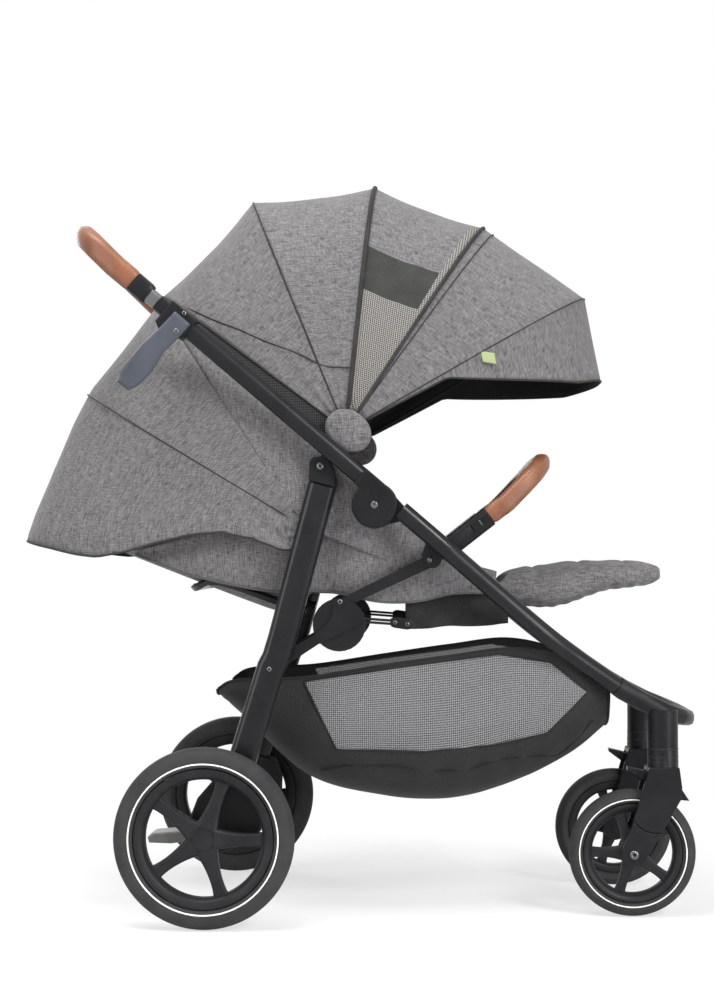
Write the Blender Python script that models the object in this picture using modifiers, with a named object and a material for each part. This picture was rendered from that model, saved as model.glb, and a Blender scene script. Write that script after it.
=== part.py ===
"""A folding pushchair: tube chassis, four wheels, telescopic handle, reclining seat, canopy and basket.

Metres, +Z up. +X points forward and +Y to the child's left. The side view lies in the X-Z plane, and
pairs of pieces are built once for each side: side -1 is the child's right, side +1 the left.
"""

import math

import bmesh
import bpy
from mathutils import Matrix, Vector

# Overall
CENTRE_SHIFT_X = 0.01189
GAP = 0.0003
MERGE = 0.00001

# Rear wheels
REAR_WHEEL_RADIUS = 0.135
REAR_TYRE_WIDTH = 0.044
REAR_RIM_RADIUS = REAR_WHEEL_RADIUS - 0.0323
REAR_RIM_DEPTH = 0.0155
REAR_HUB_CAP_RADIUS = 0.027
REAR_AXLE_X = -0.2424
AXLE_RADIUS = 0.006
REAR_FACETS = 28
FRONT_FACETS = 24

# Front wheels and casters
FRONT_WHEEL_RADIUS = 0.0975
FRONT_TYRE_WIDTH = 0.036
FRONT_RIM_RADIUS = FRONT_WHEEL_RADIUS - 0.0230
FRONT_RIM_DEPTH = 0.0125
CASTER_X = 0.4527
CASTER_Y = 0.155
CASTER_TRAIL = 0.0477
CASTER_RADIUS = 0.0235
CASTER_JOINT_Z = FRONT_WHEEL_RADIUS + 0.1639
FORK_INNER = 0.0268
FORK_WALL = 0.0062
ARM_INNER = 0.0195
ARM_PIVOT = (CASTER_X - 0.0132, FRONT_WHEEL_RADIUS + 0.0746)
ARM_JOINT_RADIUS = 0.042
LOCK_PIVOT = (CASTER_X - 0.0337, CASTER_JOINT_Z - 0.0449)

# Chassis tubes, measured along their common line and square to it from the foot of the fold pivot
FOLD_PIVOT = (0.010, 0.630)
FRAME_ANGLE = math.radians(40.56)
PIVOT_DROP = 0.020
TUBE_DEPTH = 0.027
TUBE_WIDTH = 0.023
TUBE_Y = 0.2565
TUBE_WALL = 0.0013
HINGE_RADIUS = 0.034
SLEEVE_LENGTH = 0.045
UPPER_TUBE_TOP = 0.4278
TELESCOPE_BOTTOM = 0.300
BUSHING_LENGTH = 0.020
HANDLE_BARE = 0.0167
COLLAR_LENGTH = 0.0317
LEG_PIVOT_FRAME = (-0.101, -0.0285)
LINK_PIVOT_FRAME = (0.1204, -0.0254)
HUB_FRAME = (-0.1075, 0.038)

# Rear legs and side links
LEG_Y = TUBE_Y - 0.025
REAR_WHEEL_Y = LEG_Y + 0.061
LEG_WIDTH = 0.022
LEG_DEPTH = 0.043
LEG_FOOT = (-0.2089, REAR_WHEEL_RADIUS + 0.050)
LEG_KNEE = (-0.1470, 0.3850)
LINK_REAR_PIVOT = (-0.149, 0.3825)
KNEE_PIVOT = (-0.0429, 0.4799)
KNEE_DISC = (-0.0445, 0.4485)
KNEE_RADIUS = 0.0405
LINK_INNER_Y = LEG_Y - 0.025
LINK_THICK = 0.006
LINK_WIDTH = 0.015

# Handle grip and bumper bar
GRIP_BAR = (-0.438, 1.046)
GRIP_DEPTH = 0.034
GRIP_WIDTH = 0.027
BUMPER_FOOT = (0.118, 0.563)
BUMPER_TOP = (0.1838, 0.6143)
BUMPER_BAR = (0.268, 0.698)
BUMPER_Y = TUBE_Y - 0.039
BUMPER_DEPTH = 0.031
BUMPER_WIDTH = 0.026

# Seat
SEAT_REAR_X = -0.100
SEAT_FRONT_X = 0.188
SEAT_TOP_Z = 0.535
SEAT_BOTTOM_Z = 0.497
SEAT_HALF_WIDTH = TUBE_Y - 0.0735
SEAT_TAB_Y = TUBE_Y - 0.0445
SEAT_STUD = (0.172, 0.507)
BACK_ANGLE = math.radians(21.0)
BACK_LENGTH = 0.355
BACK_THICK = 0.044
BACK_UNDER = 0.034
BACK_PIVOT = (-0.112, 0.492)
SUPPORT_PIVOT = (-0.104, 0.470)
SUPPORT_REAR = (-0.276, 0.504)
SUPPORT_Y = SEAT_HALF_WIDTH - 0.0175
SUPPORT_TUBE = 0.012
CALF_PIVOT = (0.1965, 0.505)
CALF_BARREL = 0.0092
CALF_FRONT_X = 0.459
CALF_HALF_WIDTH = SEAT_HALF_WIDTH - 0.037

# Canopy and back hood: spokes are (angle in degrees, reach at the middle of the arch)
CANOPY_SPOKES = [(143.1, 0.375), (125.0, 0.377), (112.3, 0.4075), (84.0, 0.402), (57.1, 0.398), (30.2, 0.437), (12.3, 0.413)]
BOW_ANGLES = [112.3, 84.0, 57.1, 30.2]
CANOPY_HALF_WIDTH = TUBE_Y - 0.032
HUB_RADIUS = 0.014
BOW_RADIUS = 0.0025
BOW_NEST = 0.0065
VISOR_Z = 0.822
FABRIC = 0.0024
HOOD_PIVOT = (-0.096, 0.597)
HOOD_SPOKES = [(123.6, 0.438), (147.4, 0.4188), (156.0, 0.4156), (167.6, 0.4208), (176.6, 0.4345), (182.0, 0.4453), (185.5, 0.440)]
HOOD_HALF_WIDTH = CANOPY_HALF_WIDTH + 0.0015
HOOD_WEB = ((-0.1600, 0.6020), (-0.1650, 0.4950))
ARCH_POWER = 3.0
ARCH_START = 0.03

# Basket: stations of (x, rim height, lowest height, half width less the widest half width)
BASKET_HALF_WIDTH = TUBE_Y - 0.0735
BASKET_STATIONS = [
    (-0.228, 0.384, 0.322, -0.023),
    (-0.190, 0.380, 0.268, -0.007),
    (-0.100, 0.368, 0.206, 0.0),
    (0.020, 0.385, 0.172, 0.0),
    (0.130, 0.401, 0.168, 0.0),
    (0.230, 0.412, 0.196, 0.0),
    (0.316, 0.392, 0.240, -0.0082),
    (0.372, 0.352, 0.285, -0.045),
]
BASKET_SKIN = 0.003
BASKET_STUD = (0.255, 0.4460)
BASKET_TAB_Y = TUBE_Y - 0.056


REAR_AXLE = (REAR_AXLE_X, REAR_WHEEL_RADIUS)
FRONT_AXLE = (CASTER_X - CASTER_TRAIL, FRONT_WHEEL_RADIUS)


def frame_point(along, across=0.0):
    """A side-view point measured down the tube line from the fold pivot's foot, and square to it."""
    ux, uz = math.cos(FRAME_ANGLE), -math.sin(FRAME_ANGLE)
    nx, nz = -uz, ux
    across = across + PIVOT_DROP
    return (FOLD_PIVOT[0] + along * ux + across * nx, FOLD_PIVOT[1] + along * uz + across * nz)


LEG_PIVOT = frame_point(*LEG_PIVOT_FRAME)
LINK_PIVOT = frame_point(*LINK_PIVOT_FRAME)
HUB = frame_point(*HUB_FRAME)

for old in list(bpy.data.objects):
    bpy.data.objects.remove(old, do_unlink=True)

parts = bpy.data.collections.new("pushchair")
tools = bpy.data.collections.new("cutters")
bpy.context.scene.collection.children.link(parts)
bpy.context.scene.collection.children.link(tools)

root = bpy.data.objects.new("pushchair_root", None)
root.location = (CENTRE_SHIFT_X, 0.0, 0.0)
parts.objects.link(root)


def axis_empty(name, x, y, z):
    """An empty on a joint's axis, which carries the pieces that move with that joint."""
    empty = bpy.data.objects.new(name, None)
    empty.location = (x, y, z)
    empty.parent = root
    parts.objects.link(empty)
    return empty


def finish(name, colour, roughness, metallic=0.0):
    """A plain principled material of one colour."""
    material = bpy.data.materials.new(name)
    material.use_nodes = True
    shader = material.node_tree.nodes["Principled BSDF"]
    shader.inputs["Base Color"].default_value = (*colour, 1.0)
    shader.inputs["Roughness"].default_value = roughness
    shader.inputs["Metallic"].default_value = metallic
    return material


CHARCOAL = (0.045, 0.045, 0.050)


def carry(obj, axis):
    """Hang a piece on its joint's empty, or on the root, and keep it where it was built."""
    obj.parent = axis or root
    if axis:
        obj.location = obj.location - axis.location
    return obj


def add(name, mesh, material=None, axis=None, location=(0, 0, 0), rotation=(0, 0, 0)):
    """A finished piece: link it, colour it, shade it smooth and hang it on its joint."""
    obj = bpy.data.objects.new(name, mesh)
    obj.location = location
    obj.rotation_euler = rotation
    parts.objects.link(obj)
    if material:
        mesh.materials.append(material)
    carry(obj, axis)
    return obj


def as_tool(obj):
    """Turn a piece into a cutter or a shape that another piece is joined with."""
    parts.objects.unlink(obj)
    tools.objects.link(obj)
    obj.hide_render = True
    obj.display_type = "WIRE"
    return obj


def combine(obj, other, operation):
    """Cut a shape from a piece, or join it on, with a Boolean modifier."""
    as_tool(other)
    change = obj.modifiers.new(operation.lower(), "BOOLEAN")
    change.operation = operation
    change.object = other
    change.solver = "EXACT"
    return obj


def join(obj, *others):
    for other in others:
        combine(obj, other, "UNION")
    return obj


def cut(obj, *others):
    for other in others:
        combine(obj, other, "DIFFERENCE")
    return obj


def smooth(obj, angle=40):
    obj.data.shade_smooth()
    obj.data.set_sharp_from_angle(angle=math.radians(angle))
    return obj


def mesh_from(name, build):
    """Fill a mesh with what a function does to an empty bmesh."""
    mesh = bpy.data.meshes.new(name)
    bm = bmesh.new()
    build(bm)
    bmesh.ops.recalc_face_normals(bm, faces=bm.faces)
    bm.to_mesh(mesh)
    bm.free()
    return mesh


def mesh_of_curve(curve):
    """The mesh of a curve with its caps welded on."""
    holder = bpy.data.objects.new(curve.name, curve)
    parts.objects.link(holder)
    graph = bpy.context.evaluated_depsgraph_get()
    mesh = bpy.data.meshes.new_from_object(holder.evaluated_get(graph))
    bpy.data.objects.remove(holder, do_unlink=True)
    bm = bmesh.new()
    bm.from_mesh(mesh)
    bmesh.ops.remove_doubles(bm, verts=bm.verts, dist=MERGE)
    bmesh.ops.recalc_face_normals(bm, faces=bm.faces)
    bm.to_mesh(mesh)
    bm.free()
    return mesh


def rod(name, radius, start, end, sides=16, material=None, axis=None, end_radius=None):
    """A round bar or cone between two points."""
    start, end = Vector(start), Vector(end)
    run = end - start
    turn = run.to_track_quat("Z", "Y").to_matrix().to_4x4()
    place = Matrix.Translation((start + end) / 2) @ turn
    far = radius if end_radius is None else end_radius

    def build(bm):
        bmesh.ops.create_cone(
            bm, cap_ends=True, segments=sides, radius1=radius, radius2=far, depth=run.length, matrix=place
        )

    return smooth(add(name, mesh_from(name, build), material, axis))


def pin(name, radius, x, z, y_from, y_to, sides=16, material=None, axis=None):
    """A round bar across the pushchair."""
    return rod(name, radius, (x, y_from, z), (x, y_to, z), sides, material, axis)


def block(name, size, centre, bevel=0.0, material=None, axis=None, pitch=0.0, segments=1):
    """A box, turned in the side view by its pitch, with its edges rounded."""
    place = Matrix.Translation(centre) @ Matrix.Rotation(pitch, 4, "Y")

    def build(bm):
        bmesh.ops.create_cube(bm, size=1.0, matrix=place @ Matrix.Diagonal((*size, 1.0)))

    obj = add(name, mesh_from(name, build), material, axis)
    if bevel:
        rounding = obj.modifiers.new("rounded", "BEVEL")
        rounding.width = bevel
        rounding.segments = segments
    return obj


def plate(name, outline, y_from, y_to, edge=0.0, material=None, axis=None):
    """A flat outline in the side view, as thick as the space between two lateral positions."""
    low, high = min(y_from, y_to), max(y_from, y_to)
    curve = bpy.data.curves.new(name, "CURVE")
    curve.dimensions = "2D"
    curve.fill_mode = "BOTH"
    curve.extrude = (high - low) / 2 - edge
    curve.bevel_depth = edge
    curve.bevel_resolution = 0
    curve.offset = -edge
    spline = curve.splines.new("POLY")
    spline.points.add(len(outline) - 1)
    for point, (x, z) in zip(spline.points, outline):
        point.co = (x, z, 0.0, 1.0)
    spline.use_cyclic_u = True
    mesh = mesh_of_curve(curve)
    mesh.transform(Matrix.Translation((0, (low + high) / 2, 0)) @ Matrix.Rotation(math.pi / 2, 4, "X"))
    return smooth(add(name, mesh, material, axis), 50)


def rounded_profile(width, depth, corner=0.35, steps=2):
    """A closed rounded rectangle: width across the pushchair, depth in the side view."""
    a, b = width / 2, depth / 2
    r = corner * min(width, depth)
    points = []
    for k, (cx, cy) in enumerate([(a - r, b - r), (r - a, b - r), (r - a, r - b), (a - r, r - b)]):
        for i in range(steps + 1):
            angle = math.pi / 2 * (k + i / steps)
            points.append((cx + r * math.cos(angle), cy + r * math.sin(angle)))
    return points


def beam(name, path, width, depth, corner=0.35, steps=2, scales=None, material=None, axis=None):
    """A bar with a rounded rectangular section swept along a path of points."""
    section = bpy.data.curves.new(name + "_section", "CURVE")
    section.dimensions = "3D"
    outline = rounded_profile(width, depth, corner, steps)
    ring = section.splines.new("POLY")
    ring.points.add(len(outline) - 1)
    for point, (x, y) in zip(ring.points, outline):
        point.co = (x, y, 0.0, 1.0)
    ring.use_cyclic_u = True
    section_obj = bpy.data.objects.new(name + "_section", section)
    section_obj.hide_render = True
    section_obj.display_type = "WIRE"
    tools.objects.link(section_obj)
    curve = bpy.data.curves.new(name, "CURVE")
    curve.dimensions = "3D"
    curve.twist_mode = "Z_UP"
    curve.bevel_mode = "OBJECT"
    curve.bevel_object = section_obj
    curve.use_fill_caps = True
    spline = curve.splines.new("POLY")
    spline.points.add(len(path) - 1)
    for k, (point, place) in enumerate(zip(spline.points, path)):
        point.co = (*place, 1.0)
        point.radius = scales[k] if scales else 1.0
    mesh = mesh_of_curve(curve)
    bpy.data.objects.remove(section_obj, do_unlink=True)
    return smooth(add(name, mesh, material, axis), 50)


def curved(points, steps=4):
    """A smooth path through a few points, each stretch a cubic that leans on its neighbours."""
    points = [Vector(p) for p in points]
    ends = [2 * points[0] - points[1], *points, 2 * points[-1] - points[-2]]
    path = []
    for a, b, c, d in zip(ends, ends[1:], ends[2:], ends[3:]):
        for i in range(steps):
            t = i / steps
            path.append(
                (
                    2 * b
                    + (c - a) * t
                    + (2 * a - 5 * b + 4 * c - d) * t * t
                    + (3 * b - a - 3 * c + d) * t**3
                )
                / 2
            )
    return [*path, points[-1]]


def arc(centre, radius, start, end, steps):
    """Points on a circle in the side view, between two angles in degrees."""
    return [
        (
            centre[0] + radius * math.cos(math.radians(start + (end - start) * i / steps)),
            centre[1] + radius * math.sin(math.radians(start + (end - start) * i / steps)),
        )
        for i in range(steps + 1)
    ]


def capsule(first, second, first_radius, second_radius, steps=6):
    """The outline of a link: two round ends joined by straight edges."""
    lean = math.degrees(math.atan2(second[1] - first[1], second[0] - first[0]))
    return arc(first, first_radius, lean + 90, lean + 270, steps) + arc(
        second, second_radius, lean - 90, lean + 90, steps
    )


def turned(name, profile, x, y, z, outward, steps, material=None, axis=None):
    """A closed ring turned about a wheel's axle. The profile is (radius, distance outward)."""
    mesh = bpy.data.meshes.new(name)
    mesh.from_pydata(
        [(r, 0.0, d) for r, d in profile], [(i, (i + 1) % len(profile)) for i in range(len(profile))], []
    )
    lean = -math.pi / 2 if outward > 0 else math.pi / 2
    obj = add(name, mesh, material, axis, (x, y, z), (lean, 0, 0))
    spin = obj.modifiers.new("turned", "SCREW")
    spin.steps = steps
    spin.render_steps = steps
    spin.use_merge_vertices = True
    spin.merge_threshold = MERGE
    spin.use_smooth_shade = True
    return obj


def mirrored(points):
    """A path from one side to the other, from its half on the child's left that ends at the middle."""
    half = [Vector(p) for p in points]
    other = [Vector((p.x, -p.y, p.z)) for p in half]
    middle = half[-1:] if abs(half[-1].y) < 1e-9 else []
    left = half[:-1] if middle else half
    right = other[:-1] if middle else other
    return [*left, *middle, *reversed(right)]


def side_name(side):
    return "right" if side < 0 else "left"


def build_rear_wheels(tyre_material, rim_material):
    """Air-filled tyres on five-spoked rims whose hubs turn on the axle stubs."""
    w, r_out, r_in = REAR_TYRE_WIDTH / 2, REAR_WHEEL_RADIUS, REAR_RIM_RADIUS + GAP
    tyre = [(r_in, 0.78 * w), (r_in + 0.013, w), (r_out - 0.006, 0.80 * w), (r_out, 0.36 * w)]
    profile = tyre + [(r, -d) for r, d in reversed(tyre)]
    for side in (-1, 1):
        name = side_name(side)
        axis = axis_empty(f"rear_wheel_axis_{name}", REAR_AXLE[0], side * REAR_WHEEL_Y, REAR_AXLE[1])
        place = (REAR_AXLE[0], side * REAR_WHEEL_Y, REAR_AXLE[1])
        turned(f"rear_tyre_{name}", profile, *place, side, REAR_FACETS, tyre_material, axis)
        build_rim(f"rear_rim_{name}", place, side, REAR_RIM_RADIUS, REAR_RIM_DEPTH, 0.017, REAR_HUB_CAP_RADIUS,
                  0.0078, -1.0, 0.0265, REAR_FACETS, 0.003, rim_material, axis)


def star(centre, reach, hub, half_width, first_angle):
    """The outline of five spokes that flare into the hub."""
    outline = []
    for k in range(5):
        middle = first_angle + 72 * k
        outline += arc(centre, 1.25 * hub, middle - 36, middle - 36, 1)[:1]
        for sign in (-1, 1):
            stations = ((1.62 * hub, 1.3 * half_width), (reach, half_width))
            for radius, width in stations if sign < 0 else reversed(stations):
                lean = math.degrees(math.asin(width / radius))
                outline += arc(centre, radius, middle + sign * lean, middle + sign * lean, 1)[:1]
    return outline


def build_rim(name, place, side, radius, depth, half, cap, spoke, angle, inner, steps, edge, material, axis):
    """A rim ring, a star of spokes, and a hub with a blind bore for the axle."""
    x, y, z = place
    r_in = radius - depth
    ring = [
        (radius, half),
        (radius, -half),
        (r_in + 0.003, -half),
        (r_in, -0.75 * half),
        (r_in, 0.55 * half),
        (r_in + 0.005, half),
    ]
    obj = turned(name, list(reversed(ring)), x, y, z, side, steps, material, axis)
    join(
        obj,
        plate(f"{name}_star", star((x, z), r_in + 0.004, cap, spoke, angle), y - side * 0.0105, y + side * 0.0125,
              edge, None, axis),
        pin(f"{name}_hub", 0.7 * cap, x, z, y - side * inner, y + side * 0.004, 16, None, axis),
        pin(f"{name}_cap", cap, x, z, y + side * 0.002, y + side * 0.0155, 24, None, axis),
    )
    cut(obj, pin(f"{name}_bore", AXLE_RADIUS + GAP, x, z, y - side * 0.06, y + side * 0.0085, 16, None, axis))
    return obj


def build_front_units(tyre_material, rim_material, plastic):
    """Two casters: a fork on a vertical pivot, a sprung arm, a lock lever and a small wheel."""
    w, r_out, r_in = FRONT_TYRE_WIDTH / 2, FRONT_WHEEL_RADIUS, FRONT_RIM_RADIUS + GAP
    tyre = [(r_in, 0.82 * w), (r_out - 0.010, w), (r_out - 0.003, 0.70 * w), (r_out, 0.30 * w)]
    profile = tyre + [(r, -d) for r, d in reversed(tyre)]
    for side in (-1, 1):
        name = side_name(side)
        y = side * CASTER_Y
        swivel = axis_empty(f"caster_axis_{name}", CASTER_X, y, CASTER_JOINT_Z)
        arm_axis = axis_empty(f"suspension_axis_{name}", ARM_PIVOT[0], y, ARM_PIVOT[1])
        wheel_axis = axis_empty(f"front_wheel_axis_{name}", FRONT_AXLE[0], y, FRONT_AXLE[1])
        build_fork(name, y, plastic, swivel)
        build_arm(name, y, plastic, arm_axis)
        place = (FRONT_AXLE[0], y, FRONT_AXLE[1])
        turned(f"front_tyre_{name}", profile, *place, side, FRONT_FACETS, tyre_material, wheel_axis)
        rim = build_rim(f"front_rim_{name}", place, side, FRONT_RIM_RADIUS, FRONT_RIM_DEPTH, 0.0135, 0.0165,
                        0.0062, 35.5, 0.0165, FRONT_FACETS, 0.0, rim_material, wheel_axis)
        cut(rim, pin(f"front_through_{name}", AXLE_RADIUS + GAP, *FRONT_AXLE, y - 0.05, y + 0.05, 16, None,
                     wheel_axis))


def build_fork(name, y, plastic, axis):
    """The swivel body, a crown over the wheel and a cheek on each side of it."""
    joint_z, px, pz = CASTER_JOINT_Z, *ARM_PIVOT
    fork = rod(f"fork_{name}", CASTER_RADIUS + 0.0008, (CASTER_X, y, joint_z - 0.0464),
               (CASTER_X, y, CASTER_JOINT_Z - GAP), 24, plastic, axis, CASTER_RADIUS)
    outer = FORK_INNER + FORK_WALL
    cheek = [(px - 0.0180, pz + 0.0349), (px - 0.0105, pz + 0.0579), (px + 0.0350, pz + 0.0579),
             (px + 0.0390, pz + 0.0279), (px + 0.0380, pz + 0.0109)]
    cheek += list(reversed(arc(ARM_PIVOT, ARM_JOINT_RADIUS, 214, 281, 4)))
    crown = block(f"crown_{name}", (0.047, 2 * outer - 0.001, 0.0235), (px + 0.0110, y, pz + 0.0459), 0.004, None,
                  axis)
    nose = [(px + 0.0285, pz + 0.0329), (px + 0.0405, pz + 0.0239), (px + 0.0530, pz + 0.0049), (px + 0.0305, pz + 0.0069)]
    lug = plate(f"fork_lug_{name}", nose, y - 0.008, y + 0.008, 0.001, None, axis)
    join(fork, crown)
    for sign in (-1, 1):
        join(
            fork,
            plate(f"cheek_{name}_{sign}", cheek, y + sign * FORK_INNER, y + sign * outer, 0.0012, None, axis),
            pin(f"arm_pin_{name}_{sign}", 0.005, *ARM_PIVOT, y + sign * 0.0205, y + sign * (FORK_INNER + 0.002),
                12, None, axis),
        )
    bridge = block(f"front_bridge_{name}", (0.008, 2 * FORK_INNER + 0.004, 0.024), (px + 0.0330, y, pz + 0.0229),
                   0.001, None, axis)
    join(fork, bridge, lug)
    lx, lz = LOCK_PIVOT
    for sign in (-1, 1):
        ear = capsule(LOCK_PIVOT, (lx + 0.0120, lz + 0.0010), 0.0050, 0.0060, 4)
        join(fork, plate(f"lever_ear_{name}_{sign}", ear, y + sign * 0.0115, y + sign * 0.0150, 0.0, None, axis))
    join(fork, pin(f"lever_pin_{name}", 0.0025, lx, lz, y - 0.0130, y + 0.0130, 12, None, axis))
    lever_axis = axis_empty(f"lock_axis_{name}", LOCK_PIVOT[0], y, LOCK_PIVOT[1])
    outline = [(LOCK_PIVOT[0] - 0.0215, LOCK_PIVOT[1] + 0.0125), (LOCK_PIVOT[0] - 0.0215, LOCK_PIVOT[1] + 0.0070)]
    outline += arc(LOCK_PIVOT, 0.0075, -110, 85, 6)
    lever = plate(f"swivel_lock_{name}", outline, y - 0.011, y + 0.011, 0.0012, plastic, lever_axis)
    cut(lever, pin(f"lever_bore_{name}", 0.0025 + GAP, lx, lz, y - 0.02, y + 0.02, 12, None, lever_axis))


def build_arm(name, y, plastic, axis):
    """Two cheeks that hold the axle and rock on the fork's pins against a spring."""
    arm = pin(f"suspension_arm_{name}", AXLE_RADIUS, *FRONT_AXLE, y - 0.024, y + 0.024, 16, plastic, axis)
    outer = FORK_INNER + FORK_WALL
    end = arc(FRONT_AXLE, 0.0195, 165, 345, 7)
    joint = arc(ARM_PIVOT, ARM_JOINT_RADIUS + 0.0005, 280, 215, 4)
    for sign in (-1, 1):
        cheek = plate(f"arm_cheek_{name}_{sign}", capsule(ARM_PIVOT, FRONT_AXLE, 0.0145, 0.0175, 4),
                      y + sign * ARM_INNER, y + sign * (FORK_INNER - 0.0005), 0.0, None, axis)
        pad = plate(f"arm_pad_{name}_{sign}", end + joint, y + sign * (FORK_INNER - 0.0015), y + sign * outer,
                    0.001, None, axis)
        bolt = pin(f"axle_bolt_{name}_{sign}", 0.0065, *FRONT_AXLE, y + sign * 0.030, y + sign * (outer + 0.0018),
                   12, None, axis)
        join(arm, cheek, pad, bolt)
        cut(arm, pin(f"arm_bore_{name}_{sign}", 0.005 + GAP, *ARM_PIVOT, y + sign * 0.018, y + sign * 0.028,
                     12, None, axis))
    return arm


def build_lower_frame(metal, plastic):
    """Lower tubes that run from the hinges down to the moulded front bar with its caster sockets."""
    start = frame_point(0.018)
    straight = frame_point(0.125)
    taken_in, joint_z = TUBE_Y - CASTER_Y, CASTER_JOINT_Z
    path_half = [(0.2529, CASTER_Y + 0.640394 * taken_in, joint_z + 0.1863),
                 (0.3162, CASTER_Y + 0.359606 * taken_in, joint_z + 0.1375),
                 (0.3808, CASTER_Y + 0.078818 * taken_in, joint_z + 0.0930)]
    bend = curved([(straight[0], TUBE_Y, straight[1]), *path_half], 3)
    for side in (-1, 1):
        name = side_name(side)
        path = [Vector((start[0], TUBE_Y, start[1])), *bend]
        path = [Vector((p.x, side * p.y, p.z)) for p in path]
        tube = beam(f"lower_tube_{name}", path, TUBE_WIDTH, TUBE_DEPTH, 0.35, 2, None, metal)
        cut(tube, pin(f"hinge_clearance_{name}", HINGE_RADIUS + 0.0012, *FOLD_PIVOT, side * (TUBE_Y - 0.05), side * (TUBE_Y + 0.05), 32))
        join(tube, pin(f"seat_stud_{name}", 0.005, *SEAT_STUD, side * (TUBE_Y - 0.0165), side * (SEAT_TAB_Y - 0.008), 12))
        join(tube, pin(f"basket_stud_{name}", 0.004, *BASKET_STUD, side * (TUBE_Y - 0.0385), side * (BASKET_TAB_Y - 0.006), 12))
        build_hinge_disc(name, side, plastic)
    tube_end = bend[-1]
    lead = (bend[-1] - bend[-2]).normalized()
    arm = [tube_end + GAP * lead, tube_end + 0.014 * lead, (0.4230, CASTER_Y + 0.001, joint_z + 0.0676),
           (0.4560, CASTER_Y - 0.005, joint_z + 0.0516), (0.4830, CASTER_Y - 0.025, joint_z + 0.0426),
           (0.4990, CASTER_Y - 0.065, joint_z + 0.0376), (0.5055, CASTER_Y - 0.110, joint_z + 0.0351),
           (0.5075, 0.0, joint_z + 0.0341)]
    path = mirrored(arm)
    taper = [1.0, 1.04, 1.0, 0.95, 0.86, 0.8, 0.76, 0.75]
    bar = beam("front_bar", path, 0.026, 0.030, 0.4, 2, taper + taper[-2::-1], plastic)
    for side in (-1, 1):
        join(bar, rod(f"caster_socket_{side_name(side)}", CASTER_RADIUS, (CASTER_X, side * CASTER_Y, CASTER_JOINT_Z),
                      (CASTER_X, side * CASTER_Y, joint_z + 0.0546), 24))


def build_hinge_disc(name, side, plastic):
    """The lower half of the fold hinge: a disc inside the tube line, an arm along it and the link's pin."""
    inner, mid = side * (TUBE_Y - 0.0190), side * (TUBE_Y - 0.0135)
    core = side * (TUBE_Y - 0.0165)
    disc = [frame_point(x, z) for x, z in arc((0, -PIVOT_DROP), HINGE_RADIUS + 0.001, 60, 330, 16)]
    lobe = [frame_point(x, z) for x, z in arc(LINK_PIVOT_FRAME, 0.0125, -110, 60, 6)]
    outline = disc + lobe + [frame_point(0.132, 0.008), frame_point(0.036, 0.008)]
    plastic_disc = plate(f"hinge_disc_{name}", outline, inner, mid, 0.0, plastic)
    pad = [frame_point(*p) for p in ((0.046, -0.011), (0.114, -0.011), (0.114, 0.007), (0.046, 0.007))]
    tube_face = side * (TUBE_Y - TUBE_WIDTH / 2 - GAP)
    join(
        plastic_disc,
        plate(f"hinge_pad_{name}", pad, core, tube_face - side * GAP),
        pin(f"fold_pin_{name}", 0.005, *FOLD_PIVOT, core, side * (TUBE_Y + 0.0147), 16),
        pin(f"fold_rivet_{name}", 0.0065, *FOLD_PIVOT, side * (TUBE_Y + 0.0140), side * (TUBE_Y + 0.0157), 16),
        pin(f"link_boss_{name}", 0.008, *LINK_PIVOT, core, side * (LINK_INNER_Y + LINK_THICK + GAP), 16),
        pin(f"link_pin_{name}", 0.004, *LINK_PIVOT, side * (LINK_INNER_Y + 0.0135), side * (LINK_INNER_Y - 0.001), 12),
        pin(f"link_head_{name}", 0.0055, *LINK_PIVOT, side * (LINK_INNER_Y - GAP), side * (LINK_INNER_Y - 0.002), 12),
        pin(f"link_rivet_{name}", 0.005, *LINK_PIVOT, side * (TUBE_Y - 0.0145), side * (TUBE_Y - 0.0119), 12),
    )


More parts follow.
